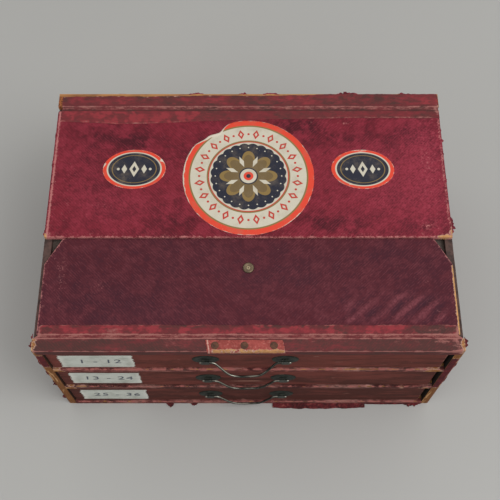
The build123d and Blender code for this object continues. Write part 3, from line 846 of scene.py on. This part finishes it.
def rear_strip():
    """One strip of cloth from the back board, over the groove, to its torn edge on the lid."""
    top = rear_band_high.z
    groove_back, groove_front = back_cap_low.y, lid_high.y
    middle = (groove_front + groove_back) / 2
    profile = [(y, top) for y in spaced(rear_band_high.y, groove_back + 1.2, 9)]
    profile += [(y, top + rise) for y, rise in (
        (groove_back + 0.5, 0.2), (groove_back - 0.2, 0.05), (groove_back - 0.9, -0.7), (middle + 0.7, -1.3),
        (middle - 0.7, -1.5), (groove_front + 0.9, -1.1), (groove_front + 0.2, -0.1), (groove_front - 0.5, 0.1),
    )]
    profile += [(y, top) for y in spaced(groove_front - 1.3, lid_band_low.y + 0.3, 8)]
    profile += [(lid_band_low.y, lid_high.z)]

    def shape(x, y, z, across, along):
        end = 0.02
        if across < end:
            x += (4.0 + 1.2 * rough(0, y * 2, z, 5)) * (1 - across / end)
        if across > 1 - end:
            worn_in = 0.4 + 0.5 * abs(rough(0, y * 2, z, 4, 2)) + 2.5 * between(y, 140, 149) ** 2
            x -= worn_in * (across - 1 + end) / end
        rear = between(y, groove_back + 2, rear_band_high.y)
        y += rear * (along_line(REAR_EDGE, x) + 0.7 * rough(x, 0, 3.0, 9, 4) - rear_band_high.y)
        y = min(y, back_high.y - 0.05)
        hem = between(-y, -groove_front + 3, -lid_band_low.y)
        y += hem * (along_line(REAR_HEM, x) + 0.5 * rough(x, 0, 7.0, 12) - lid_band_low.y)
        carried = lid_rise(x, y) * between(-y, -groove_front, -groove_front + 2)
        if z <= lid_high.z and along > 0.9:
            return x, y, lid_high.z + carried
        return x, y, z + max(0.15 * rough(x, y, z, 16), -0.1) + max(carried, -0.2)

    def painter(x, y, z, upward):
        lumpy, streak = lumps(x, y, z, 8), lumps(x / 7, y, z, 2.6)
        ridge = between(y, groove_front + 0.9, groove_front + 2.9)
        ridge *= between(-y, -groove_back - 1.6, -groove_back + 0.4)
        hem = near(y - along_line(REAR_HEM, x) - 0.9, 0.9)
        edge = y - along_line(REAR_EDGE, x)
        cap = between(y, groove_back + 2, groove_back + 4)
        on_lid = between(-y, -groove_front, -groove_front + 2)
        worn = ridge * (0.26 + 0.2 * streak) + 0.35 * near(y - groove_back - 0.3, 0.6) * (0.4 + lumpy)
        worn += (0.75 - 0.5 * near(x - 20, 70)) * hem * (0.3 + lumpy)
        worn += (0.45 * near(y - groove_front + 0.8, 0.8) + 0.4 * near(edge, 1.0)) * lumpy
        worn += 0.6 * near(rear_band_high.x + 1 - abs(x), 2.5) * lumpy
        # The stain mark also darkens a line in the groove just behind the lid's rear edge.
        stain = cap * (0.1 + 0.5 * streak) + 0.9 * near(y - groove_front - 1.3, 1.2) + marked(REAR_STAINS, x, y)
        stain += 0.5 * between(rough(x, y * 1.5, 21.0, 16), -0.1, 0.5)
        bare = 0.5 * near(lid_high.x - x, 2.5) * near(y - groove_back, 3.0) * (0.5 + lumpy)
        bare += 0.45 * near(edge, 1.6) * (lumpy + 0.3 * (x < -80))
        bright = on_lid * between(-x, 30, 80) * (0.25 + 1.6 * between(lumpy, 0.45, 0.65)) + 0.4 * on_lid * lumpy
        faded = 0.55 * between(rough(x, y * 1.5, 27.0, 12), -0.2, 0.5)
        bright += cap * (faded + 0.6 * marked(REAR_BRIGHT, x, y))
        return worn, stain, bare, bright

    shell = moulding(profile, back_cap_low.x + 0.4, back_cap_high.x - 0.2, 420, shape)
    blend = (("case", "lid"), (0, groove_back - 0.3, top), (0, groove_front + 0.3, top))
    nodes = ("rear_hinge_cloth_case", "rear_hinge_cloth_lid")
    piece = make("rear_hinge_cloth", shell, BAND_CLOTH, None, nodes, painter, blend)


# ---------------------------------------------------------------- labels
def label_edge(angle):
    """The round label's outline as a share of its radius: nibbled, with a piece torn away at its rear left."""
    bearing = degrees(angle) % 360
    torn = near(bearing - 121, 9) * 0.1 + near(bearing - 136, 7) * 0.05
    return 1.0 - torn - 0.006 * abs(rough(40 * cos(angle), 40 * sin(angle), 3.0, 5))


def round_label():
    thick = label_high.z - label_low.z

    def place(around, along):
        angle = around * 2 * pi
        share = min(along * 1.04, 1.0)
        radius = label_radius * share * (1 - (1 - label_edge(angle)) * between(share, 0.8, 1.0))
        x, y = label_centre.x + radius * cos(angle), label_centre.y + radius * sin(angle)
        curl = 0.5 * near(degrees(angle) % 360 - 128, 12) * between(share, 0.84, 1.0)
        return x, y, label_high.z + lid_rise(x, y) + curl - (thick if along > 0.985 else 0.0) + 0.02

    def painter(x, y, z, upward):
        away = Vector((x - label_centre.x, y - label_centre.y))
        angle = atan2(away.y, away.x)
        bearing = degrees(angle) % 360
        edge = label_radius * label_edge(angle) - away.length
        lumpy = lumps(x, y, 6.0, 6)
        worn = near(edge, 0.7) * (0.25 + 0.6 * lumpy) + near(bearing - 126, 13) * near(edge, 3.5) * 1.2
        worn += near(bearing - 165, 26) * near(edge, 1.4) * (0.4 + 0.7 * lumpy)
        worn += 0.45 * near(bearing - 185, 22) * near(edge - 1.5, 2.0) * lumpy
        worn += 0.45 * near(bearing - 318, 14) * near(edge - 1.0, 2.0) * lumpy
        return worn, 0.0, 0.0, 0.0

    shell = Shell()
    shell.grid(220, 52, place, True)
    make("round_label_paper", shell, ROUND_PRINT, "lid", ["round_label"], painter)


OVAL_SCUFFS = [(-93, 63, 3, 2, 0.8), (-152, 58, 3, 3, 0.5), (108, 34, 3, 2, 0.6), (121, 74, 8, 2, 0.6)]


def oval_labels():
    thick = ovals_high.z - ovals_low.z
    shell = Shell()
    for hand in HANDS:
        tilt = radians(-1.5 * hand)

        def place(around, along):
            angle = around * 2 * pi
            share = min(along * 1.08, 1.0)
            nibble = 1 - 0.012 * abs(rough(30 * cos(angle), 30 * sin(angle), hand * 9.0, 5)) * share
            across, up = oval_half.x * share * nibble * cos(angle), oval_half.y * share * nibble * sin(angle)
            x = hand * oval_offset + across * cos(tilt) - up * sin(tilt)
            y = oval_middle + across * sin(tilt) + up * cos(tilt)
            return x, y, ovals_high.z + lid_rise(x, y) - (thick if along > 0.96 else 0.0) + 0.02

        shell.grid(120, 24, place, True)

    def painter(x, y, z, upward):
        reach = hypot((abs(x) - oval_offset) / oval_half.x, (y - oval_middle) / oval_half.y)
        worn = between(reach, 0.94, 1.0) * (0.2 + 0.6 * lumps(x, y, 2.0, 5))
        return worn + marked(OVAL_SCUFFS, x, y), 0.0, 0.0, 0.0

    make("oval_label_papers", shell, OVAL_PRINT, "lid", ["oval_labels"], painter)


# ---------------------------------------------------------------- the case's cloth
BENDS = (0.4, 0.8, 1.2)
SIDE_SCUFFS = [
    (-60, 120, 30, 6, 0.2), (40, 60, 12, 30, 0.2), (90, 150, 10, 10, 0.3), (-110, 30, 16, 8, 0.25),
    (0, 170, 50, 3, 0.3),
]


def side_bareness(hand, z):
    """How far the cloth is torn from the front edge of a side board at a height."""
    if hand < 0:
        return 1.0 * between(-z, -147 - 4 * rough(z, 0, 1.0, 6, 2), -140) + 0.75 * near(z - 186, 7)
    return 1.0 * between(-z, -72, -64) + 0.95 * between(z, 168, 176)


def side_cloth(hand):
    """Cloth over one side, turned round the front and rear edges of its board and torn in places."""
    outer, inner = sides_high.x, -left_board_high.x
    corner, rear_corner, rear = 0.9, 0.5, back_high.y + 0.14
    line = [(inner + (outer - corner - inner) * t, case_front - 0.05) for t in spaced(0, 1, 5)]
    line += [(outer - b, case_front + a) for a, b in quarter(corner, BENDS)]
    front_points = len(line)
    line += [(outer, y) for y in spaced(case_front + corner, back_high.y - corner, 130)]
    line += [(outer - a, rear - b) for a, b in quarter(rear_corner, (0.0, *BENDS))]
    line += [(outer - rear_corner - 13 * t, rear) for t in spaced(0, 1, 6)]
    bottom, top = 0.4, sides_high.z

    def place(across, along):
        index = round(across * (len(line) - 1))
        x, y = line[index]
        z = bottom + (top - bottom) * along
        if y > back_low.y - 1.5:
            x += 0.2
        elif index > front_points:
            x += min(0.25 * rough(y, z, hand * 20.0, 40, 2), 0.0)
            if along > 0.995:
                x -= 0.35
        if index == len(line) - 1:
            x += 1.5 * rough(z, 0, hand * 4.0, 14, 4)
        if index == 0:
            x += 0.5 * abs(rough(z, 0, hand * 8.0, 8))
        if y < case_front + 0.5 and side_bareness(hand, z) > 0.8:
            y += 0.4
        return hand * x, y, z

    def painter(x, y, z, upward):
        lumpy = lumps(y, z, 5.0 * hand, 8)
        at_side = between(abs(x), outer - 2.0, outer - 0.6)
        front_edge, rear_edge = near(y - case_front, 1.3) * at_side, near(y - back_high.y, 1.3) * at_side
        worn = (0.8 * front_edge + 0.7 * rear_edge) * (0.4 + 0.7 * lumpy)
        worn += 0.8 * near(top - z, 1.5) * (0.4 + 0.7 * lumpy) + 0.7 * near(z, 1.6) * (0.3 + 0.7 * lumpy)
        worn += marked(SIDE_SCUFFS, y * hand, z)
        # The stain mark is also darker towards the bottom of the side.
        stain = 0.4 * between(rough(y, z, 3.0 * hand, 60), 0.0, 0.5) + 0.3 * near(z, 20)
        bare = 0.9 * front_edge * between(lumpy, 0.5, 0.8)
        if y < case_front + 0.5:
            bare = max(bare, side_bareness(hand, z))
        return worn, stain, bare + 0.6 * rear_edge * between(lumpy, 0.55, 0.85), 0.15 * lumpy

    shell = Shell()
    shell.grid(len(line) - 1, 84, place)
    side = "left" if hand < 0 else "right"
    nodes = ["side_cloths"] if hand < 0 else []
    piece = make(f"side_cloth_{side}", shell, SIDE_CLOTH, "case", nodes, painter)


# By board: the cloth's worn patches, the places where it is torn off, how pink it has worn and how dark it is.
EDGES = {
    "shelf_1": (
        [(112, 18, 0.9), (150, 8, 0.5), (60, 30, 0.35), (-30, 16, 0.4), (-100, 60, 0.15), (176, 10, 0.4)],
        [(-198, 10, 1.3), (191, 11, 1.3)], 0.3, 0.0),
    "shelf_2": (
        [(132, 4, 0.9), (-183, 5, 1.2), (-110, 16, 0.2), (100, 10, 0.2), (-60, 10, 0.15)],
        [(-197, 8, 1.3), (169, 5, 0.75), (194, 6, 0.9)], 0.03, 0.45),
    "bottom_board": ([(100, 60, 0.2), (-120, 70, 0.15)], [(-160, 30, 0.5), (-50, 16, 0.4)], 0.16, 0.0),
}


def edge_cloth(name, board, nodes=()):
    """Cloth wrapped round the front edge of a shelf or of the bottom board, chipped along its arrises."""
    marks, torn, pink, dark = EDGES[board]
    low, high = box(board)
    front, reach_back, lip, turn = case_front - 0.05, 4.5, 0.25, 1.1
    under, over = max(low.z - lip, 0.15), high.z + lip
    profile = [(front + reach_back, over), (front + 2.8, over), (front + turn, over)]
    profile += [(front + b, over - a) for a, b in quarter(turn, BENDS)]
    profile += [(front, over - turn), (front, (over + under) / 2), (front, under + turn)]
    profile += [(front + b, under + a) for a, b in quarter(turn, BENDS[::-1])]
    profile += [(front + turn, under), (front + reach_back, under)]
    low_x, high_x = left_board_high.x + 0.1, -left_board_high.x - 0.1

    def shape(x, y, z, across, along):
        chip = between(rough(x, 0, low.z, 9, 4) + marked_along(marks, x), 0.25, 0.8)
        arris = near(y - front, 1.4) * between(z, over - 2.5, over - 0.2)
        if along in (0.0, 1.0):
            y += 1.2 * rough(x, z, low.z, 10)
        return x, y + 0.7 * chip * arris, z - 0.45 * chip * arris

    def painter(x, y, z, upward):
        lumpy, patchy = lumps(x, z, low.z, 7, 4), marked_along(marks, x)
        upper = near(y - front - 0.5, 1.3) * between(z, over - 2.6, over - 0.4)
        lower = near(y - front - 0.4, 1.2) * between(-z, -under - 2.2, -under - 0.4)
        worn = upper * (0.1 + 0.6 * lumpy) + 0.5 * lower * lumpy + pink * between(lumpy, 0.3, 0.7)
        lower_half = 1.15 - 0.55 * between(z, low.z + 2.5, high.z)
        bare = marked_along(torn, x) * (0.45 + 0.3 * lumpy) * lower_half + 0.12 * patchy * upper
        bare += 0.55 * near(z - low.z - 0.6, 0.9) * between(lumpy, 0.35, 0.6) * (board == "bottom_board")
        bright = patchy * (0.35 * between(z, low.z, over) + 0.8 * upper) * (0.5 + lumpy)
        return worn, 0.5 * lumpy + dark, bare, bright

    shell = moulding(profile, low_x, high_x, 330, shape)
    piece = make(name, shell, EDGE_CLOTH, "case", nodes, painter)


# ---------------------------------------------------------------- drawers
DRAWER_SCUFFS = {
    1: [(-40, 150, 14, 1.0, 0.4), (60, 160, 20, 1.2, 0.3), (150, 145, 30, 1.0, 0.3), (20, 172, 12, 1, 0.3)],
    2: [(-3, 84.9, 15, 1.3, 1.6), (70, 100, 8, 1, 0.4), (100, 110, 14, 1.0, 0.35), (-60, 90, 20, 0.8, 0.3)],
    3: [(-6.6, 9, 1.6, 1.6, 2.2), (30, 40, 20, 1.0, 0.35), (-30, 50, 14, 1, 0.35), (90, 30, 26, 1, 0.3)],
}
DRAWER_STAINS = [(-3, 20, 60, 12, 0.4), (120, 10, 50, 14, 0.3), (-160, 8, 30, 10, 0.3)]
PLAIN_NUMBERS = {1: "1 - 12", 2: "13 - 24", 3: "25 - 36"}


def drawer_face(number):
    """Cloth over a drawer's front, rolled over its edges."""
    drawer = f"drawer_{number}"
    low, high = box(f"{drawer}_cloth")
    face, deep, roll = low.y, high.y, 0.7
    bend = quarter(roll, (0.0, 0.5, 1.0, pi / 2))
    rows = [(deep, low.z + 0.05)] + [(face + b, low.z + a) for a, b in bend]
    rows += [(face, z) for z in spaced(low.z + roll, high.z - roll, 24)[1:-1]]
    rows += [(face + b, high.z - a) for a, b in reversed(bend)] + [(deep, high.z - 0.05)]

    def shape(x, y, z, across, along):
        return x, min(y + 0.5 * near(min(across, 1 - across) * (high.x - low.x), 0.5), deep), z

    def painter(x, y, z, upward):
        streak, lumpy = lumps(x / 9, z, number * 7.0, 2.2), lumps(x, z, number * 3.0, 9)
        edge = near(z - low.z, 1.2) + near(high.z - z, 1.2) + near(x - low.x, 1.2) + near(high.x - x, 1.4)
        worn = edge * (0.2 + 0.5 * lumpy) + 0.5 * between(streak, 0.8, 1.0) + marked(DRAWER_SCUFFS[number], x, z)
        # Each lower drawer is painted darker than the one above.
        stain = 0.3 * streak + 0.28 * (number - 1) + marked(DRAWER_STAINS, x, z - low.z)
        return worn, stain, 0.0, 0.3 * between(lumpy, 0.6, 1.0)

    shell = moulding(rows, low.x, high.x, 220, shape)
    name, nodes = f"{drawer}_face_cloth", [f"{drawer}_cloth"]
    piece = make(name, shell, DRAWER_CLOTH, drawer, nodes, painter)


def tape_label(number):
    """A strip of masking tape torn by hand at both ends, with a plain number on it."""
    drawer = f"drawer_{number}"
    low, high = box(f"{drawer}_tape_label")
    slope = (0.012, -0.004, 0.008)[number - 1]

    def place(across, along):
        z = low.z + (high.z - low.z) * along
        zigzag = 2.2 * abs(2 * ((z / 5.2 + 0.3 * rough(z, 0, number * 1.0, 6, 2)) % 1.0) - 1)
        ragged = zigzag + 1.4 * rough(z, number, 0, 9)
        left, right = low.x - 2.6 + ragged, high.x - 0.4 + ragged * 0.9
        x = left + (right - left) * across
        wave = min(0.12 * rough(x, z, number * 2.0, 12, 2), 0.08)
        return x, low.y - 0.06 + wave, z + slope * (x - low.x) * 0.5 + 0.25 * rough(x, 0, number, 20, 2)

    def painter(x, y, z, upward):
        ends = near(x - low.x, 3.0) + near(high.x - x, 3.0)
        return 0.6 * ends, 0.25 * between(rough(x, z, 1.0, 14), 0.0, 0.6), 0.0, 0.0

    shell = Shell()
    shell.grid(60, 36, place)
    make(f"{drawer}_tape", shell, TAPE, drawer, [f"{drawer}_tape_label"], painter)
    text = bpy.data.curves.new(f"{drawer}_number", "FONT")
    text.body = PLAIN_NUMBERS[number]
    text.size = 16 * MM
    text.extrude = 0.02 * MM
    text.shear = 0.1
    text.align_x, text.align_y = "CENTER", "CENTER"
    text.space_character = 1.15
    written = added(f"{drawer}_number", text)
    written.location = [c * MM for c in ((low.x + high.x) / 2 + 2, low.y - 0.24, (low.z + high.z) / 2)]
    written.rotation_euler = (pi / 2, radians(-1.0 + number * 0.6), 0)
    text.materials.append(INK)
    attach(written, drawer)


def bail(number):
    """A bent wire handle: straight pins, a swan-neck bend at each shoulder and a flat grip."""
    drawer = f"drawer_{number}"
    low, high = box(f"{drawer}_bail")
    middle, wire = (low.x + high.x) / 2, 1.2
    pivot = Vector((middle, box(f"{drawer}_pull_plates")[0].y - 2.8, high.z - wire))
    lean = radians(24.0 if number == 1 else 7.0)
    pin_end, shoulder_start, drop = (high.x - low.x) / 2, 34.8, 21.0
    turn, shoulder, grip = radians(55.0), 8.0, 14.0
    half = [(-pin_end, 0.0), (-pin_end + 0.5, 0.0)]
    half += [(x, 0.0) for x in spaced(-pin_end + 2, -shoulder_start, 5)]
    for i in range(1, 9):
        a = turn * i / 8
        half.append((-shoulder_start + shoulder * sin(a), shoulder * (1 - cos(a))))
    straight = drop - shoulder * (1 - cos(turn)) - grip * (1 - cos(turn))
    x0, d0 = half[-1]
    half += [(x0 + straight / tan(turn) * t, d0 + straight * t) for t in (0.25, 0.5, 0.75, 1.0)]
    x1, d1 = half[-1]
    for i in range(1, 9):
        a = turn * (1 - i / 8)
        half.append((x1 + grip * (sin(turn) - sin(a)), d1 + grip * (cos(a) - cos(turn))))
    flat = half + [(half[-1][0] * t, drop) for t in (0.6, 0.2)]
    flat += [(-x, d) for x, d in reversed(flat)]
    for _ in range(14):
        eased = [flat[0]]
        for before, point, after in zip(flat, flat[1:], flat[2:]):
            share = 0.5 * between(point[1], 0.2, 4.0)
            eased.append(tuple(c + share * ((a + b) / 2 - c) for a, b, c in zip(before, after, point)))
        flat = eased + [flat[-1]]
    line = []
    for x, down in flat:
        free = between(down, 0.5, 6.0)
        bent = 0.35 * free * rough(x, number * 5.0, 0, 22, 2)
        down += 0.3 * free * rough(x, number * 9.0, 4.0, 26, 2)
        line.append(pivot + Vector((x, -down * sin(lean) + bent, -down * cos(lean))))
    shell = Shell()
    shell.tube(line, lambda along: wire * (0.82 if along in (0.0, 1.0) else 1.0), 18)

    def painter(x, y, z, upward):
        # Brighter pins, partly worn metal and partly painted highlight, and a painted highlight along the wire's
        # upward faces.
        pin = between(abs(x - middle), 40, 44) * lumps(x, y, z, 3, 2)
        slope = along_line(flat, x - middle + 0.5) - along_line(flat, x - middle - 0.5)
        steepest = sqrt(1 - (slope * cos(lean)) ** 2 / (1 + slope * slope))
        painted_top_highlight = between(upward / steepest, 0.88, 0.99) * between(rough(x, 0, number * 3.0, 16), -0.35, 0.3)
        return 0.0, 0.0, 0.0, 0.25 * pin + 0.7 * painted_top_highlight

    make(f"{drawer}_bail_wire", shell, WIRE_STEEL, f"bail_{number}", [f"{drawer}_bail"], painter)


# ---------------------------------------------------------------- torn scraps
def scrap(shell, root, along, out, width, reach, jag, seed):
    """A torn bit of cloth that reaches out from a line to an edge, ragged where jag is high."""
    root, along, out = Vector(root), Vector(along), Vector(out)
    across_cloth = along.cross(out)

    def place(across, up):
        s = (across - 0.5) * width
        taper = sin(pi * min(max(across, 0.01), 0.99)) ** jag
        edge = 1 - jag + jag * (0.5 + 0.9 * rough(s, seed * 7.0, 0, 2.2)) + 0.12 * rough(s, seed, 3.0, 11, 2)
        curl = 0.3 * reach * jag * up * rough(s, seed * 3.0, 5.0, 5, 2)
        return root + along * s + out * (reach * up * edge * taper) + across_cloth * curl

    shell.grid(max(6, round(width / 0.9)), 4, place)


def scraps(name, body, material, spots):
    """Several torn bits of one covering, as one piece."""
    shell = Shell()
    for seed, (root, along, out, width, reach, jag) in enumerate(spots):
        scrap(shell, root, along, out, width, reach, jag, seed + 1.0)

    def painter(x, y, z, upward):
        lumpy = lumps(x, y, z, 4)
        return 0.35 * lumpy, 0.5 * lumpy, 0.0, 0.5 * between(lumpy, 0.5, 0.7)

    piece = make(name, shell, material, body, (), painter)


# Each spot: the middle of its root, the way along it, the way out, the width, the reach and the jag.
LID_SCRAPS = [((hand * x, y, z), (0, hand, 0), (hand * out, 0, sink), width, reach, 0.6)
              for hand, x, y, z, out, sink, width, reach in (
    (1, 209.0, -14, 197.2, 0.96, -0.1, 19, 5.0), (1, 209.2, 103, 196.5, 0.9, -0.3, 4, 2.4),
    (1, 209.2, 89, 196.5, 0.95, -0.1, 4, 4.0), (1, 209.2, 72, 196.0, 0.9, -0.3, 7, 1.6),
    (1, 209.2, 40, 196.0, 0.9, -0.3, 9, 1.4), (-1, 209.2, 96, 196.5, 0.9, -0.3, 8, 1.8),
    (-1, 209.2, 60, 196.5, 0.9, -0.3, 12, 1.4), (-1, 209.2, -22, 196.5, 0.9, -0.4, 9, 2.4),
)]
CASE_SCRAPS = [((hand * 209.6, -148.6, z), (0, 0, -hand), (hand * 0.8, lean, 0), width, reach, 0.6)
               for hand, z, lean, width, reach in (
    (-1, 122, -0.4, 18, 2.2), (-1, 86, -0.4, 22, 3.0), (-1, 32, -0.4, 14, 4.6), (-1, 160, -0.3, 18, 2.0),
    (1, 150, -0.3, 20, 1.6), (1, 100, -0.3, 26, 1.6),
)]
CASE_SCRAPS += [
    ((209.6, -140.0, 195.6), (0, 0.9, 0.1), (0.9, -0.1, 0.1), 12, 4.6, 0.6),
    ((-209.6, -142.0, 195.2), (0, -0.9, 0.1), (-0.9, -0.1, 0), 9, 4.0, 0.6),
    ((-209.6, -134.0, 195.2), (0, -0.9, 0.1), (-0.9, -0.1, 0), 7, 2.4, 0.6),
]
CASE_SCRAPS += [((x, -149.0, z), (-1, 0, 0), out, width, reach, jag) for x, z, out, width, reach, jag in (
    (82, 1.6, (0, -0.98, -0.16), 108, 6.6, 0.06), (162, 1.6, (0, -0.98, -0.16), 54, 1.6, 0.2),
    (-92, 1.2, (0, -1, -0.1), 9, 6.0, 0.6), (-64, 1.2, (0, -1, -0.1), 8, 4.5, 0.6),
    (190, 1.4, (0, -1, -0.1), 26, 4.0, 0.6),
)]
REAR_SCRAPS = [((x, y, 197.9), (1, 0, 0), (0, 1, rise), width, reach, 0.5) for x, y, rise, width, reach in (
    (110, 148.4, 0.08, 24, 4.0), (173, 148.4, 0.05, 16, 2.6), (25, 147.8, 0.08, 20, 3.6),
    (-5, 147.8, 0.08, 12, 3.4), (-57, 147.8, 0.08, 20, 3.4), (-140, 147.8, 0.05, 12, 2.2),
)]


# ---------------------------------------------------------------- stud, strap and tacks
def stud():
    low, high = box("stud_ring")
    centre = Vector(((low.x + high.x) / 2, (low.y + high.y) / 2, low.z))
    radius, tall = (high.x - low.x) / 2, high.z - low.z
    outline = [(radius - 0.15, -0.1), (radius, 0.25), (radius - 0.1, 0.7), (radius - 0.7, tall - 0.15)]
    outline += [(radius - 1.5, tall), (radius - 2.2, tall - 0.15), (2.9, tall - 0.45), (2.6, tall - 0.4)]
    outline += [(2.2, tall - 0.5), (1.9, tall - 0.9), (1.2, tall - 1.15), (0.55, tall - 0.75)]
    outline += [(0.0, tall - 0.68)]
    shell = Shell()
    shell.lathe(outline, 48, centre)

    def painter(x, y, z, upward):
        # A painted highlight on the cap's upward faces.
        return 0.0, 0.0, 0.0, 0.3 * upward ** 8

    make("stud_cap", shell, STUD_BRASS, "flap", ["stud_ring"], painter)


TACKS = (-32.3, -3.8, 24.7)


def strap():
    """The stub of a torn strap."""
    low, high = box("strap_stub")
    top, base = high.z, high.z - 0.8
    turn = front_band_low.y - low.y
    profile = [(high.y - 0.1, base), (high.y, base + 0.5), (high.y - 0.5, top)]
    profile += [(y, top) for y in spaced(high.y - 1.5, low.y + turn + 0.8, 8)]
    profile += [(low.y + a, top - b) for a, b in quarter(turn, [radians(15 * i) for i in range(6, -1, -1)])]
    profile += [(low.y, z) for z in (193.2, 192.4, 191.7, 191.1)] + [(low.y + 0.1, low.z - 0.6)]

    def shape(x, y, z, across, along):
        ends = 1 - abs(2 * across - 1)
        sign = -1 if across < 0.5 else 1
        slant = (-0.18 if sign > 0 else -0.22) * (y - low.y)
        x += (1.2 * rough(0, y, 3.0 + sign, 4) + slant * 0.8) * between(-ends, -0.1, 0.0)
        down = 0.7 * near(ends, 0.008)
        lift = 0.35 * near(ends, 0.05) * (0.5 + rough(0, y, 9.0 * sign, 6, 2))
        wave = 0.16 * rough(x, y, 2.0, 9, 2)
        hem = between(-z, -low.z - 2.4, -low.z)
        z += 1.3 * hem * abs(rough(x, 0, 8.0, 4))
        return x, y + 0.2 * hem * rough(x, 2.0, 8.0, 5, 2), z + (lift + wave) * between(z, base, top) - down

    def painter(x, y, z, upward):
        lumpy = lumps(x, y, 1.0, 4)
        torn_back = -147.6 + 1.1 * rough(x, 0, 2.0, 5, 4)
        bare = between(-y, -torn_back - 0.4, -torn_back + 0.4) * between(z, low.z, low.z + 1.5)
        bare *= (0.25 + 0.8 * lumpy) * between(x, low.x + 2, low.x + 7)
        worn = 0.9 * near(x - low.x - 0.14 * (high.y - y), 0.5) + 0.26 * lumpy + 0.4 * near(high.x - x, 1.0)
        around = min(abs(x - tack) for tack in TACKS)
        holes = 1.4 * near((x % 4.2) - 2.1, 0.8) * near(y + 146.6, 0.7)
        return worn * (1 - 0.8 * holes), 0.35 * near(around - 4.2, 1.5) + holes, bare, 0.4 * lumpy

    shell = moulding(profile, low.x, high.x, 110, shape)
    make("strap_end", shell, STRAP, "case", ["strap_stub"], painter)


def tacks():
    """The three rusty tacks that hold the strap."""
    radius, top = 3.9, box("strap_stub")[1].z
    middle = box("strap_tacks")[0].y + radius
    rim = [(radius - 0.3, -0.35), (radius, 0.0), (radius - 0.25, 0.3), (radius - 0.9, 0.5)]
    rim += [(radius - 1.6, 0.52), (radius - 2.4, 0.5), (radius - 3.2, 0.42), (0.0, 0.45)]
    heads = Shell()
    for number, x in enumerate(TACKS):
        first = len(heads.points)
        heads.lathe(rim, 28, Vector((x, middle, top)))
        for point in heads.points[first:]:
            point += Vector((0.2, 0.2, 0.12)) * rough(point.x, point.y, number * 4.0, 2.2)
    make("strap_tack_heads", heads, TACK_RUST, "case", ["strap_tacks"])


# ---------------------------------------------------------------- the set
def studio():
    """A pale floor, an even sky, a key lamp and a fill lamp. Their lengths are in metres."""
    floor = bpy.data.meshes.new("floor")
    corners = [(6.0 * x, 6.0 * y, 0) for x, y in ((-1, -1), (1, -1), (1, 1), (-1, 1))]
    floor.from_pydata(corners, [], [(0, 1, 2, 3)])
    stage = added("floor", floor)
    paint = Paint("studio floor", (190, 190, 187))
    paint.coat(paint.noise(400, 3), (184, 184, 182))
    floor.materials.append(paint.finish(0.9, specular=0.1))

    world = bpy.data.worlds.new("studio")
    world.use_nodes = True
    world.node_tree.nodes["Background"].inputs["Color"].default_value = (1.0, 0.99, 0.97, 1)
    world.node_tree.nodes["Background"].inputs["Strength"].default_value = 0.55
    bpy.context.scene.world = world
    lamps = (("key", (0.9, -0.5, 1.7), 1.1, 14.0), ("fill", (-1.3, -0.9, 1.2), 1.2, 4.0))
    for name, place, size, power in lamps:
        lamp = bpy.data.lights.new(name, "AREA")
        lamp.size, lamp.energy = size, power
        holder = added(name, lamp)
        holder.location = place
        holder.rotation_euler = (Vector((0, 0, 0.1)) - Vector(place)).to_track_quat("-Z", "Y").to_euler()


def camera():
    """The photograph's view: from the front, 65 degrees down, a metre above the table."""
    data = bpy.data.cameras.new("camera")
    data.sensor_width = 36.0
    data.lens = 60.48
    holder = added("camera", data)
    holder.location = (0.0016, -0.4038, 0.971)
    looking, up = Vector((0, 0.4235, -0.9059)), Vector((0, 0.9059, 0.4235))
    holder.rotation_euler = Matrix((looking.cross(up), up, -looking)).transposed().to_euler()
    bpy.context.scene.camera = holder


camera()
studio()
bpy.context.scene.view_settings.view_transform = "Standard"

for material, nodes in (
    (WOOD_UP, ("side_left", "side_right")),
    (WOOD_LONG, ("shelf_1", "shelf_2", "bottom_board", "front_rail", "back_rail")),
    (WOOD_BACK, ("back_board",)), (END_BOARD, ("back_cap",)), (TORN_END, ("front_cap",)),
    (LID_BOARD, ("lid_board", "flap_board")), (LINING, ("well_floor",)), (NAIL_STEEL, ("case_nails",)),
    (STUD_BRASS, ("stud_barrel", "stud_washer")),
):
    keep(material, *nodes)
for n in DRAWERS:
    keep(DRAWER_WOOD, f"drawer_{n}_front", f"drawer_{n}_back")
    keep(DRAWER_WOOD_SIDES, f"drawer_{n}_left_side", f"drawer_{n}_right_side")
    keep(PLAIN_BOARD, f"drawer_{n}_bottom")
    keep(PLATE_IRON, f"drawer_{n}_pull_plates")
    keep(EYE_STEEL, f"drawer_{n}_pull_eyes")
    drawer_face(n)
    tape_label(n)
    bail(n)

covered_boards()
round_label()
oval_labels()
front_strip()
rear_strip()
for side in HANDS:
    side_cloth(side)
edge_cloth("shelf_1_edge_cloth", "shelf_1", ["edge_cloths"])
edge_cloth("shelf_2_edge_cloth", "shelf_2")
edge_cloth("bottom_edge_cloth", "bottom_board")
stud()
strap()
tacks()
scraps("lid_torn_edges", "lid", LID_CLOTH, LID_SCRAPS)
scraps("case_torn_edges", "case", SIDE_CLOTH, CASE_SCRAPS)
scraps("rear_torn_edges", "case", LID_CLOTH, REAR_SCRAPS)
